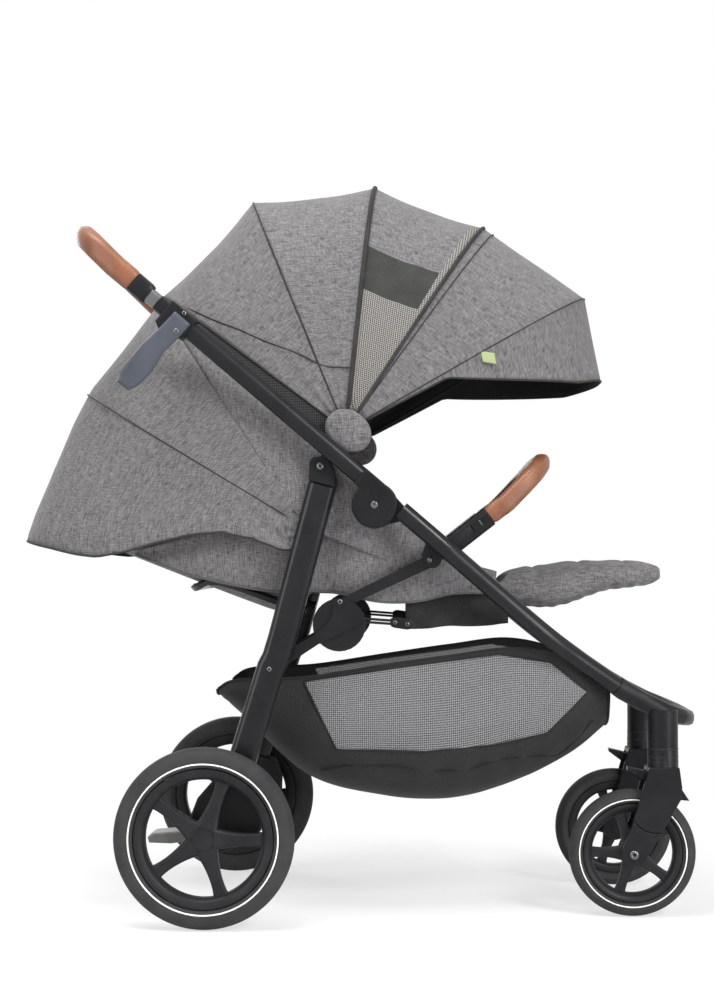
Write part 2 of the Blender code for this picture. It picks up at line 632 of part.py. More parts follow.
def build_upper_frame(metal, plastic, blue_grey, axis):
    """Hollow upper tubes with their leg brackets, the hinge shells, the handle housings and the feet."""
    top, sleeve = -UPPER_TUBE_TOP, -SLEEVE_LENGTH - GAP
    for side in (-1, 1):
        name = side_name(side)
        y = side * TUBE_Y
        run = [(*frame_point(a), y) for a in (sleeve, top)]
        tube = beam(f"upper_tube_{name}", [(x, yy, z) for x, z, yy in run], TUBE_WIDTH, TUBE_DEPTH, 0.35, 2, None,
                    metal, axis)
        hollow = [(*frame_point(a), y) for a in (-TELESCOPE_BOTTOM + 0.01, top - 0.01)]
        cut(tube, beam(f"tube_bore_{name}", [(x, yy, z) for x, z, yy in hollow], TUBE_WIDTH - 2 * TUBE_WALL,
                       TUBE_DEPTH - 2 * TUBE_WALL, 0.33, 2, None, None, axis))
        bracket = [frame_point(-0.123, -0.001), frame_point(-0.119, -0.014)]
        bracket += [frame_point(x, z) for x, z in arc(LEG_PIVOT_FRAME, 0.0145, 200, 340, 6)]
        bracket += [frame_point(-0.083, -0.014), frame_point(-0.079, -0.001)]
        spacer = [frame_point(*p) for p in ((-0.117, -0.010), (-0.085, -0.010), (-0.085, -0.0018), (-0.117, -0.0018))]
        join(
            tube,
            plate(f"spacer_{name}", spacer, side * (LEG_Y - 0.0155), side * (TUBE_Y - 0.0085), 0.0, None, axis),
            plate(f"leg_bracket_{name}", bracket, side * (LEG_Y - 0.0178), side * (LEG_Y - 0.0116), 0.0, None, axis),
            pin(f"leg_bolt_{name}", 0.005, *LEG_PIVOT, side * (LEG_Y - 0.0135), side * (LEG_Y + 0.0125), 14, None, axis),
            pin(f"leg_bolt_head_{name}", 0.0068, *LEG_PIVOT, side * (LEG_Y + 0.0118), side * (LEG_Y + 0.0137), 14, None, axis),
        )
        shell = arc((0, -PIVOT_DROP), HINGE_RADIUS, 90, -189, 22)
        shell = [(-SLEEVE_LENGTH, 0.0141)] + shell + [(-SLEEVE_LENGTH, -0.0145)]
        cover = plate(f"hinge_shell_{name}", [frame_point(*p) for p in shell], side * (TUBE_Y - 0.0132),
                      side * (TUBE_Y + 0.0137), 0.002, plastic, axis)
        cut(cover, pin(f"fold_bore_{name}", 0.005 + GAP, *FOLD_PIVOT, side * (TUBE_Y - 0.03), side * (TUBE_Y + 0.03), 16, None, axis))
        build_housing(name, side, plastic, blue_grey, axis)


def build_housing(name, side, plastic, blue_grey, axis):
    """The moulding at the upper tube's mouth with the telescope bushing, and the foot on its outside."""
    top = -UPPER_TUBE_TOP
    y = side * TUBE_Y
    body = [(top + 0.046, 0.017), (top + 0.046, -0.019), (top + 0.010, -0.030), (top - 0.003, -0.024),
            (top - 0.003, 0.017)]
    housing = plate(f"handle_housing_{name}", [frame_point(*p) for p in body], side * (TUBE_Y - 0.0160),
                    side * (TUBE_Y + 0.0153), 0.002, plastic, axis)
    sleeve = [(*frame_point(a), y) for a in (top - 0.001, top - BUSHING_LENGTH)]
    join(housing, beam(f"bushing_{name}", [(x, yy, z) for x, z, yy in sleeve], TUBE_WIDTH + 0.001,
                       TUBE_DEPTH - 0.001, 0.35, 2, None, None, axis))
    seat = [(*frame_point(a), y) for a in (top + 0.06, top - GAP)]
    bore = [(*frame_point(a), y) for a in (top + 0.05, top - BUSHING_LENGTH - 0.01)]
    cut(
        housing,
        beam(f"tube_seat_{name}", [(x, yy, z) for x, z, yy in seat], TUBE_WIDTH + 2 * GAP, TUBE_DEPTH + 2 * GAP,
             0.35, 2, None, None, axis),
        beam(f"telescope_bore_{name}", [(x, yy, z) for x, z, yy in bore], TUBE_WIDTH - 2 * TUBE_WALL,
             TUBE_DEPTH - 2 * TUBE_WALL, 0.33, 2, None, None, axis),
    )
    foot = [(-0.2887, 0.9210), (-0.2651, 0.9004), (-0.2860, 0.8772), (-0.3047, 0.8600), (-0.3219, 0.8327),
            (-0.3330, 0.8190), (-0.3442, 0.8092), (-0.3589, 0.8013), (-0.3762, 0.8149), (-0.3695, 0.8327),
            (-0.3392, 0.8710), (-0.3145, 0.8934)]
    plate(f"stand_foot_{name}", foot, side * (TUBE_Y + 0.0153 + GAP), side * (TUBE_Y + 0.0275), 0.0035, blue_grey, axis)


def build_handle(metal, leather, plastic, axis):
    """Telescopic tubes with collars, the leather covered grip and its height button."""
    start, low = -UPPER_TUBE_TOP - BUSHING_LENGTH, -TELESCOPE_BOTTOM
    collar_at = start - HANDLE_BARE
    grip_at = collar_at - COLLAR_LENGTH
    for side in (-1, 1):
        name = side_name(side)
        y = side * TUBE_Y
        tube = [(*frame_point(a), y) for a in (low, collar_at - 0.01)]
        collar = [(*frame_point(a), y) for a in (collar_at, collar_at - 0.006, grip_at + GAP)]
        slider = beam(f"handle_tube_{name}", [(x, yy, z) for x, z, yy in tube],
                      TUBE_WIDTH - 2 * TUBE_WALL - 2 * GAP, TUBE_DEPTH - 2 * TUBE_WALL - 2 * GAP, 0.33, 2, None,
                      metal, axis)
        join(slider, beam(f"collar_{name}", [(x, yy, z) for x, z, yy in collar], 0.027, 0.033, 0.35, 2,
                          [0.9, 1.0, 1.0], None, axis))
    x0, z0 = frame_point(grip_at)
    x1, z1 = frame_point(grip_at - 0.040)
    bar_x, bar_z = GRIP_BAR
    bend = curved(
        [
            (x1, TUBE_Y, z1),
            (bar_x + 0.022, TUBE_Y - 0.012, bar_z - 0.021),
            (bar_x + 0.003, TUBE_Y - 0.052, bar_z - 0.003),
            (bar_x, TUBE_Y - 0.1065, bar_z),
        ],
        3,
    )
    half = [(x0, TUBE_Y, z0), *bend, (bar_x, 0.0, bar_z)]
    grip = beam("handle_grip", mirrored(half), GRIP_WIDTH, GRIP_DEPTH, 0.45, 2, None, leather, axis)
    depth = 0.009
    slot_z = bar_z - GRIP_DEPTH / 2
    cut(grip, block("button_slot", (0.013 + 2 * GAP, 0.036 + 2 * GAP, 2 * depth), (bar_x, 0, slot_z), 0.0, None, axis))
    button_axis = axis_empty("height_button_axis", bar_x, 0.0, slot_z)
    block("height_button", (0.013, 0.036, 0.0075), (bar_x, 0, slot_z + 0.0005), 0.001, plastic, button_axis)


def build_rear_legs(metal, plastic, axis):
    """Oval legs with caps that pivot on the upper tubes, and the cross axle with its brake housings."""
    cap_joint = (-0.0695, 0.6600)
    line = [cap_joint, (-0.1308, 0.4274), LEG_KNEE, LEG_FOOT]
    for side in (-1, 1):
        name = side_name(side)
        y = side * LEG_Y
        path = curved([(x, y, z) for x, z in line[:-1]], 3)
        path.append(Vector((LEG_FOOT[0], y, LEG_FOOT[1])))
        leg = beam(f"rear_leg_{name}", path, LEG_WIDTH, LEG_DEPTH, 0.46, 3, None, metal, axis)
        join(leg, pin(f"link_seat_{name}", 0.012, *LINK_REAR_PIVOT, side * (LEG_Y - 0.0123), y, 16, None, axis))
        outline = arc(LEG_PIVOT, 0.0175, 160, 35, 6)
        outline += [(-0.0500, 0.6820), (-0.0475, 0.6680), (-0.0486, 0.6552), (-0.0898, 0.6662)]
        cap = plate(f"leg_cap_{name}", outline, y - LEG_WIDTH / 2, y + LEG_WIDTH / 2, 0.003, plastic, axis)
        cut(cap, pin(f"leg_bore_{name}", 0.005 + GAP, *LEG_PIVOT, y - 0.02, y + 0.02, 14, None, axis))
    axle = pin("rear_axle", 0.011, *REAR_AXLE, -LEG_Y, LEG_Y, 16, plastic, axis)
    housing = [(0.0674, -0.0100), (0.0824, 0.0070), (0.0834, 0.0400), (0.0724, 0.0680), (0.0134, 0.0860),
               (-0.0136, 0.0550)]
    for side in (-1, 1):
        name = side_name(side)
        outline = arc(REAR_AXLE, 0.033, 150, 300, 8)
        outline += [(REAR_AXLE[0] + dx, REAR_AXLE[1] + dz) for dx, dz in housing]
        join(
            axle,
            plate(f"brake_housing_{name}", outline, side * (LEG_Y - 0.0143), side * (LEG_Y + 0.0285), 0.0035, None, axis),
            pin(f"axle_stub_{name}", AXLE_RADIUS, *REAR_AXLE, side * (LEG_Y + 0.0185), side * (REAR_WHEEL_Y + 0.007), 16,
                None, axis),
        )
        foot = Vector((LEG_FOOT[0], side * LEG_Y, LEG_FOOT[1]))
        run = (Vector((LEG_KNEE[0], side * LEG_Y, LEG_KNEE[1])) - foot).normalized()
        cut(axle, beam(f"leg_socket_{name}", [foot - GAP * run, foot + 0.06 * run], LEG_WIDTH + 2 * GAP,
                       LEG_DEPTH + 2 * GAP, 0.46, 3, None, None, axis))


def build_brake(grey, axis_location):
    """The foot pedal on a sleeve round the cross axle, near the right wheel."""
    axis = axis_empty("brake_axis", *axis_location)
    x, z = REAR_AXLE
    pedal = pin("brake_pedal", 0.0155, x, z, -0.2000, -0.1350, 16, grey, axis)
    paddle = [(x - 0.004, z + 0.006), (x - 0.050, z - 0.003), (x - 0.088, z - 0.006), (x - 0.0965, z - 0.012),
              (x - 0.094, z - 0.0205), (x - 0.060, z - 0.0215), (x - 0.004, z - 0.0145)]
    join(pedal, plate("pedal_paddle", paddle, -0.1960, -0.1390, 0.002, None, axis))
    cut(pedal, pin("pedal_bore", 0.011 + GAP, x, z, -0.25, -0.10, 16, None, axis))


def build_links(metal, plastic, front_axis, rear_axis):
    """The side links: a front bar with the knee disc, and a rear bar with a plate that laps the disc."""
    for side in (-1, 1):
        name = side_name(side)
        inner = side * LINK_INNER_Y
        middle = side * (LINK_INNER_Y + LINK_THICK)
        outer_in = side * (LINK_INNER_Y + LINK_THICK + 0.0005)
        outer = side * (LINK_INNER_Y + 2 * LINK_THICK + 0.0005)
        half = LINK_WIDTH / 2
        front = plate(f"link_front_{name}", capsule(LINK_PIVOT, KNEE_PIVOT, 0.0095, half), inner, middle, 0.0,
                      metal, front_axis)
        disc = pin(f"knee_disc_{name}", KNEE_RADIUS, *KNEE_DISC, side * (LINK_INNER_Y + 0.0004),
                   side * (LINK_INNER_Y + LINK_THICK - 0.0003), 28, None, front_axis)
        knee = pin(f"knee_pin_{name}", 0.004, *KNEE_PIVOT, side * (LINK_INNER_Y + 0.003),
                   outer + side * 0.001, 12, None, front_axis)
        head = pin(f"knee_rivet_{name}", 0.0055, *KNEE_PIVOT, outer + side * GAP, outer + side * 0.0018, 12, None,
                   front_axis)
        join(front, disc, knee, head)
        cut(front, pin(f"link_bore_{name}", 0.004 + GAP, *LINK_PIVOT, side * (LINK_INNER_Y - 0.0065), side * (LINK_INNER_Y + 0.0135), 12, None, front_axis))
        cx, cz = KNEE_DISC
        outline = arc(KNEE_DISC, KNEE_RADIUS, 101, 8, 8)
        outline += [(cx - 0.0290, cz - 0.0290), (cx - 0.0400, cz - 0.0170)]
        outline += [(cx - 0.0200, cz - 0.0010), (cx - 0.0100, cz + 0.0150)]
        lap = plate(f"link_rear_{name}", outline, outer_in, outer, 0.0, plastic, rear_axis)
        tail = capsule((cx - 0.022, cz - 0.0140), LINK_REAR_PIVOT, half, 0.0095)
        join(lap, plate(f"link_tail_{name}", tail, outer_in + side * 0.0003, outer - side * 0.0003, 0.0, None,
                        rear_axis))
        cut(lap, pin(f"knee_bore_{name}", 0.004 + GAP, *KNEE_PIVOT, side * (LINK_INNER_Y + 0.0035), side * (LINK_INNER_Y + 0.0185), 12, None, rear_axis))


def build_bumper(plastic, leather, axis_location):
    """Arms on the lower tubes, the leather covered bar whose tongues slide into them, and the buttons."""
    axis = axis_empty("bumper_axis", *axis_location)
    foot, top = Vector((BUMPER_FOOT[0], 0, BUMPER_FOOT[1])), Vector((BUMPER_TOP[0], 0, BUMPER_TOP[1]))
    run = (top - foot).normalized()
    for side in (-1, 1):
        name = side_name(side)
        across = Vector((0, side * BUMPER_Y, 0))
        arm = beam(f"bumper_arm_{name}", [foot + across, top + across], BUMPER_WIDTH, BUMPER_DEPTH, 0.4, 2, None,
                   plastic)
        foot_pad = [frame_point(*p) for p in ((0.100, 0.006), (0.128, 0.006), (0.128, -0.010), (0.100, -0.010))]
        join(arm, plate(f"arm_pad_{name}", foot_pad, side * (BUMPER_Y + 0.004), side * (TUBE_Y - 0.0190 - GAP)))
        cut(arm, beam(f"tongue_slot_{name}", [top + across - 0.034 * run, top + across + 0.01 * run],
                      0.012 + 2 * GAP, 0.016 + 2 * GAP, 0.2, 1))
        press = top - 0.022 * run
        face = BUMPER_Y + BUMPER_WIDTH / 2
        cut(arm, pin(f"button_well_{name}", 0.007, press.x, press.z, side * (face - 0.0052), side * (face + 0.01), 16))
        button_axis = axis_empty(f"bumper_button_axis_{name}", press.x, side * face, press.z)
        pin(f"bumper_button_{name}", 0.0067, press.x, press.z, side * (face - 0.0020), side * (face + 0.0015), 16,
            plastic, button_axis)
    bar_x, bar_z = BUMPER_BAR
    end, bow = top + run * GAP, top + run * 0.036
    bend = curved(
        [
            (bow.x, BUMPER_Y, bow.z),
            (bar_x - 0.0180, BUMPER_Y - 0.014, bar_z - 0.0220),
            (bar_x - 0.0020, BUMPER_Y - 0.054, bar_z - 0.0030),
            (bar_x, BUMPER_Y - 0.1125, bar_z),
        ],
        3,
    )
    half = [(end.x, BUMPER_Y, end.z), *bend, (bar_x, 0.0, bar_z)]
    bar = beam("bumper_bar", mirrored(half), 0.024, 0.028, 0.45, 2, None, leather, axis)
    for side in (-1, 1):
        across = Vector((0, side * BUMPER_Y, 0))
        join(bar, beam(f"tongue_{side_name(side)}", [top + across - 0.030 * run, top + across + 0.010 * run], 0.012,
                       0.016, 0.2, 1, None, None, axis))


def cushion(name, corners_of, counts, material, axis, levels=0):
    """A padded block: a cage of boxes whose points follow a rule of three shares from 0 to 1."""
    nx, ny = counts

    def build(bm):
        bmesh.ops.create_cube(bm, size=1.0, matrix=Matrix.Translation((0.5, 0.5, 0.5)))
        for along, count in ((Vector((1, 0, 0)), nx), (Vector((0, 1, 0)), ny)):
            for i in range(1, count):
                bmesh.ops.bisect_plane(bm, geom=bm.verts[:] + bm.edges[:] + bm.faces[:], plane_co=along * i / count,
                                       plane_no=along)
        for vert in bm.verts:
            vert.co = corners_of(vert.co.x, vert.co.y, vert.co.z)

    obj = add(name, mesh_from(name, build), material, axis)
    if levels:
        soft = obj.modifiers.new("soft", "SUBSURF")
        soft.levels = levels
        soft.render_levels = levels
    return smooth(obj, 60)


def crown(u, v):
    """How far a pad has swelled: 0 at its rim and 1 in its middle."""
    return (1 - (2 * u - 1) ** 4) * (1 - (2 * v - 1) ** 4)


def build_seat(fabric, metal, support_axis, back_axis, calf_axis):
    """The seat base, the tube that carries the backrest, the backrest, and the calf rest."""
    def seat_point(u, v, w):
        x = SEAT_REAR_X + (SEAT_FRONT_X - SEAT_REAR_X) * u
        y = (2 * v - 1) * (SEAT_HALF_WIDTH + 0.022 * max(0.0, u - 0.6))
        swell = crown(u, v)
        edge = (2 * v - 1) ** 6
        low = SEAT_BOTTOM_Z + 0.004 * (1 - swell)
        high = SEAT_TOP_Z - 0.006 * (1 - swell) + 0.022 * edge * (1 - u) + 0.004 * math.sin(math.pi * 3 * u) * swell
        return (x, y, low + (high - low) * w)

    seat = cushion("seat_base", seat_point, (8, 8), fabric, None)
    barrel_y = CALF_HALF_WIDTH - 0.010
    join(seat, pin("calf_barrel", CALF_BARREL, *CALF_PIVOT, -barrel_y, barrel_y, 16))
    stud_x, stud_z = SEAT_STUD
    for side in (-1, 1):
        name = side_name(side)
        join(
            seat,
            block(f"seat_tab_{name}", (0.026, 0.045, 0.020), (stud_x, side * (SEAT_TAB_Y - 0.0225), stud_z + 0.0011), 0.003),
            plate(f"support_lug_{name}", capsule(SUPPORT_PIVOT, (-0.094, 0.506), 0.008, 0.005, 4),
                  side * (SUPPORT_Y + SUPPORT_TUBE / 2 + 0.0005), side * (SUPPORT_Y + SUPPORT_TUBE / 2 + 0.0060)),
            pin(f"support_pin_{name}", 0.0035, *SUPPORT_PIVOT, side * (SUPPORT_Y - 0.002),
                side * (SUPPORT_Y + SUPPORT_TUBE / 2 + 0.003), 12),
        )
        cut(seat, pin(f"stud_bore_{name}", 0.005 + GAP, stud_x, stud_z, side * (SEAT_TAB_Y - 0.0085),
                      side * (SEAT_TAB_Y + 0.02), 12))

    direction = Vector((-math.cos(BACK_ANGLE), 0, math.sin(BACK_ANGLE)))
    square = Vector((math.sin(BACK_ANGLE), 0, math.cos(BACK_ANGLE)))
    back_half = SUPPORT_Y - SUPPORT_TUBE / 2 - 0.003

    def back_point(u, v, w):
        half = back_half - 0.036 * u**2
        swell = crown(u, v)
        start = Vector((BACK_PIVOT[0], 0, BACK_PIVOT[1])) + direction * (BACK_LENGTH * u - 0.002)
        lift = -BACK_UNDER + 0.004 * (1 - swell) + w * (BACK_THICK - 0.010 * (1 - swell))
        point = start + square * lift
        return (point.x, (2 * v - 1) * half, point.z)

    back = cushion("backrest", back_point, (8, 6), fabric, back_axis)
    support = [Vector((*SUPPORT_PIVOT, SUPPORT_Y))]
    support = [(SUPPORT_PIVOT[0], SUPPORT_Y, SUPPORT_PIVOT[1]), (-0.230, SUPPORT_Y, 0.5135)]
    support = curved([*support, (-0.268, SUPPORT_Y - 0.022, SUPPORT_REAR[1] + 0.001),
                      (SUPPORT_REAR[0], SUPPORT_Y - 0.060, SUPPORT_REAR[1])], 3)
    support = [Vector((SUPPORT_PIVOT[0] + 0.0065, SUPPORT_Y, SUPPORT_PIVOT[1] - 0.0023)), *support]
    tube = beam("back_support", mirrored([*support, (SUPPORT_REAR[0], 0.0, SUPPORT_REAR[1])]), SUPPORT_TUBE,
                SUPPORT_TUBE, 0.42, 1, None, metal, support_axis)
    for side in (-1, 1):
        name = side_name(side)
        inner = SUPPORT_Y - SUPPORT_TUBE / 2
        join(
            tube,
            plate(f"recline_ear_{name}", capsule(BACK_PIVOT, (-0.120, 0.476), 0.007, 0.006, 4),
                  side * (inner + 0.0005), side * (inner + 0.0060), 0.0, None, support_axis),
            pin(f"recline_pin_{name}", 0.0035, *BACK_PIVOT, side * (inner - 0.013), side * (inner + 0.003), 12,
                None, support_axis),
        )
        cut(
            tube,
            pin(f"support_bore_{name}", 0.0035 + GAP, *SUPPORT_PIVOT, side * (SUPPORT_Y - 0.0025), side * (SUPPORT_Y + 0.03), 12,
                None, support_axis),
        )
        cut(back, pin(f"recline_bore_{name}", 0.0035 + GAP, *BACK_PIVOT, side * (inner - 0.0135), side * (inner + 0.03), 12,
                      None, back_axis))

    def calf_point(u, v, w):
        swell = crown(u, v)
        open_up = min(1.0, u / 0.12)
        x = CALF_PIVOT[0] + 0.002 + (CALF_FRONT_X - CALF_PIVOT[0] - 0.002) * u
        half = CALF_HALF_WIDTH - 0.020 * max(0.0, u - 0.7) / 0.3
        top = 0.525 + 0.017 * math.sin(math.pi * 0.62 * u) + 0.003 * swell * abs(math.sin(math.pi * 3 * u))
        base = 0.488 - 0.020 * math.sin(math.pi * min(1.0, 1.6 * u)) + 0.022 * u
        top = (top - 0.006 * (1 - swell)) * open_up + (CALF_PIVOT[1] + 0.0075) * (1 - open_up)
        base = (base + 0.006 * (1 - swell)) * open_up + (CALF_PIVOT[1] - 0.0075) * (1 - open_up)
        return (x, (2 * v - 1) * half, base + (top - base) * w)

    calf = cushion("calf_rest", calf_point, (9, 6), fabric, calf_axis)
    cut(calf, pin("calf_bore", CALF_BARREL + GAP, *CALF_PIVOT, -barrel_y - GAP, barrel_y + GAP, 16, None, calf_axis))


def arch(hub, angle, reach, half_width, share):
    """A point on a bow: share runs from one pivot over the top to the other, along a squared arch."""
    turn = math.pi * share
    lateral = math.copysign(abs(math.cos(turn)) ** (2 / ARCH_POWER), math.cos(turn)) * half_width
    out = ARCH_START + (reach - ARCH_START) * math.sin(turn) ** (2 / ARCH_POWER)
    a = math.radians(angle)
    return Vector((hub[0] + out * math.cos(a), lateral, hub[1] + out * math.sin(a)))


def reach_at(spokes, angle):
    """The reach of cloth stretched straight between the two spokes on either side of an angle."""
    for (a, ra), (b, rb) in zip(spokes, spokes[1:]):
        low, high = min(a, b), max(a, b)
        if low <= angle <= high and high > low:
            span = math.radians(abs(b - a))
            near = math.radians(abs(angle - a))
            return ra * rb * math.sin(span) / (ra * math.sin(near) + rb * math.sin(span - near))
    return spokes[0][1] if abs(angle - spokes[0][0]) < abs(angle - spokes[-1][0]) else spokes[-1][1]


def fan(name, hub, spokes, rows, half_width, columns, material, axis):
    """A sheet of cloth over bows that share a pivot, thickened inwards. Rows give angles for each share."""
    count = len(rows(0.5)) - 1
    mesh = bpy.data.meshes.new(name)
    bm = bmesh.new()
    bmesh.ops.create_grid(bm, x_segments=count, y_segments=columns, size=0.5)
    for vert in bm.verts:
        row = round((vert.co.x + 0.5) * count)
        share = min(1.0, max(0.0, vert.co.y + 0.5))
        angle = rows(share)[row]
        vert.co = arch(hub, angle, reach_at(spokes, angle), half_width, share)
    bmesh.ops.recalc_face_normals(bm, faces=bm.faces)
    top = max(bm.faces, key=lambda face: (face.calc_center_median() - Vector((hub[0], 0, hub[1]))).length)
    if top.normal.dot(top.calc_center_median() - Vector((hub[0], 0, hub[1]))) < 0:
        bmesh.ops.reverse_faces(bm, faces=bm.faces)
    bm.to_mesh(mesh)
    bm.free()
    sheet = add(name, mesh, material, axis)
    cloth = sheet.modifiers.new("cloth", "SOLIDIFY")
    cloth.thickness = FABRIC
    cloth.offset = -1.0
    return smooth(sheet, 60)


def between(first, last, steps):
    """Rows of angles from one bow to the next, held a little short of each."""
    def rows(share):
        margin = math.degrees(0.0010 / max(0.04, 0.4 * math.sin(math.pi * share) ** (2 / ARCH_POWER)))
        return [first - margin - (first - last - 2 * margin) * i / steps for i in range(steps + 1)]
    return rows


def build_canopy(fabric, mesh_fabric, plastic, fixed_axis, bow_axes):
    """Four bows that share one pivot on each side, and the cloth panels between them."""
    names = ["canopy_rear_bow", "canopy_middle_bow", "canopy_window_bow", "canopy_front_bow"]
    for k, (name, angle) in enumerate(zip(names, BOW_ANGLES)):
        axis = fixed_axis if k == 0 else bow_axes[k - 1]
        half_width = CANOPY_HALF_WIDTH - 0.006 - k * BOW_NEST
        reach = reach_at(CANOPY_SPOKES, angle) - FABRIC - 0.0036
        points = [arch(HUB, angle, reach, half_width, i / 14) for i in range(15)]
        a = math.radians(angle)
        foot = Vector((HUB[0] + (HUB_RADIUS + GAP) * math.cos(a), 0, HUB[1] + (HUB_RADIUS + GAP) * math.sin(a)))
        sides = [Vector((foot.x, y, foot.z)) for y in (half_width, -half_width)]
        bow = beam(name, [sides[0], *points, sides[1]], 2 * BOW_RADIUS, 2 * BOW_RADIUS, 0.45, 1, None, plastic, axis)
        if k:
            continue
        for side in (-1, 1):
            tube_face = TUBE_Y - TUBE_WIDTH / 2 - GAP
            bracket = [frame_point(*p) for p in capsule(HUB_FRAME, (HUB_FRAME[0], 0.0085), HUB_RADIUS, 0.008, 4)]
            overlap = Vector((foot.x - 0.004 * math.cos(a), 0, foot.z - 0.004 * math.sin(a)))
            join(
                bow,
                pin(f"hub_{side_name(side)}", HUB_RADIUS, *HUB, side * (CANOPY_HALF_WIDTH - 0.0345), side * (TUBE_Y - 0.0135), 18, None, axis),
                plate(f"hub_bracket_{side_name(side)}", bracket, side * (TUBE_Y - 0.0180), side * tube_face, 0.0, None, axis),
                rod(f"bow_root_{side_name(side)}", BOW_RADIUS * 0.9, (overlap.x, side * half_width, overlap.z),
                    (foot.x + 0.003 * math.cos(a), side * half_width, foot.z + 0.003 * math.sin(a)), 6, None, axis),
            )
    fan("canopy_rear", HUB, CANOPY_SPOKES, between(CANOPY_SPOKES[0][0], BOW_ANGLES[0], 3), CANOPY_HALF_WIDTH, 16,
        fabric, fixed_axis)
    fan("canopy_middle", HUB, CANOPY_SPOKES, between(BOW_ANGLES[0], BOW_ANGLES[1], 3), CANOPY_HALF_WIDTH, 16, fabric,
        bow_axes[0])
    fan("canopy_window", HUB, CANOPY_SPOKES, between(BOW_ANGLES[1], BOW_ANGLES[2], 3), CANOPY_HALF_WIDTH, 16,
        mesh_fabric, bow_axes[1])

    def front_rows(share):
        """Rows down to the front bow, then on to the visor's level lower edge."""
        rows = between(BOW_ANGLES[2], BOW_ANGLES[3], 3)(share)
        out = ARCH_START + (CANOPY_SPOKES[-1][1] - ARCH_START) * math.sin(math.pi * share) ** (2 / ARCH_POWER)
        level = math.degrees(math.asin(min(1.0, (VISOR_Z - HUB[1]) / out)))
        last = max(CANOPY_SPOKES[-1][0], min(BOW_ANGLES[3] - 2.5, level))
        return rows + [rows[-1] + (last - rows[-1]) * i / 2 for i in (1, 2)]

    fan("canopy_front", HUB, CANOPY_SPOKES, front_rows, CANOPY_HALF_WIDTH, 16, fabric, bow_axes[2])


def build_hood(fabric, axis):
    """The cloth hood that closes the seat behind the reclined backrest, hung from the tube that carries it."""
    angles = [a for a, _ in HOOD_SPOKES]
    hood = fan("back_hood", HOOD_PIVOT, HOOD_SPOKES, lambda share: angles, HOOD_HALF_WIDTH, 16, fabric, axis)
    high, low = HOOD_WEB
    for side in (-1, 1):
        name = side_name(side)
        face = SUPPORT_Y + SUPPORT_TUBE / 2 + GAP
        run = [(high[0], side * (HOOD_HALF_WIDTH - 0.0013), high[1]), (low[0], side * (face + 0.012), low[1] + 0.012)]
        join(
            hood,
            beam(f"hood_web_{name}", run, 0.003, 0.030, 0.3, 1, None, None, axis),
            block(f"hood_hem_{name}", (0.034, 0.016, 0.008), (low[0], side * (face + 0.008), low[1] + 0.010), 0.0,
                  None, axis),
        )


def build_basket(fabric):
    """A cloth tub slung between the tubes, open at the top."""
    columns = 14
    mesh = bpy.data.meshes.new("basket")
    bm = bmesh.new()
    bmesh.ops.create_grid(bm, x_segments=len(BASKET_STATIONS) - 1, y_segments=columns, size=0.5)
    for vert in bm.verts:
        station = BASKET_STATIONS[round((vert.co.x + 0.5) * (len(BASKET_STATIONS) - 1))]
        x, rim, low, narrower = station
        half = BASKET_HALF_WIDTH + narrower
        turn = math.pi * min(1.0, max(0.0, vert.co.y + 0.5))
        lateral = math.copysign(abs(math.cos(turn)) ** 0.55, math.cos(turn)) * half
        vert.co = (x, lateral, rim - (rim - low) * math.sin(turn) ** 0.7)
    bmesh.ops.recalc_face_normals(bm, faces=bm.faces)
    lowest = min(bm.faces, key=lambda face: face.calc_center_median().z)
    if lowest.normal.z > 0:
        bmesh.ops.reverse_faces(bm, faces=bm.faces)
    bm.to_mesh(mesh)
    bm.free()
    tub = add("basket", mesh, fabric)
    skin = tub.modifiers.new("cloth", "SOLIDIFY")
    skin.thickness = BASKET_SKIN
    skin.offset = -1.0
    stud_x, stud_z = BASKET_STUD
    for side in (-1, 1):
        name = side_name(side)
        join(tub, plate(f"basket_tab_{name}", capsule(BASKET_STUD, (stud_x - 0.012, stud_z - 0.060), 0.011, 0.015, 4),
                        side * (BASKET_TAB_Y - 0.020), side * BASKET_TAB_Y))
        cut(tub, pin(f"basket_bore_{name}", 0.004 + GAP, stud_x, stud_z, side * (BASKET_TAB_Y - 0.0065),
                     side * (BASKET_TAB_Y + 0.02), 12))
    smooth(tub, 60)


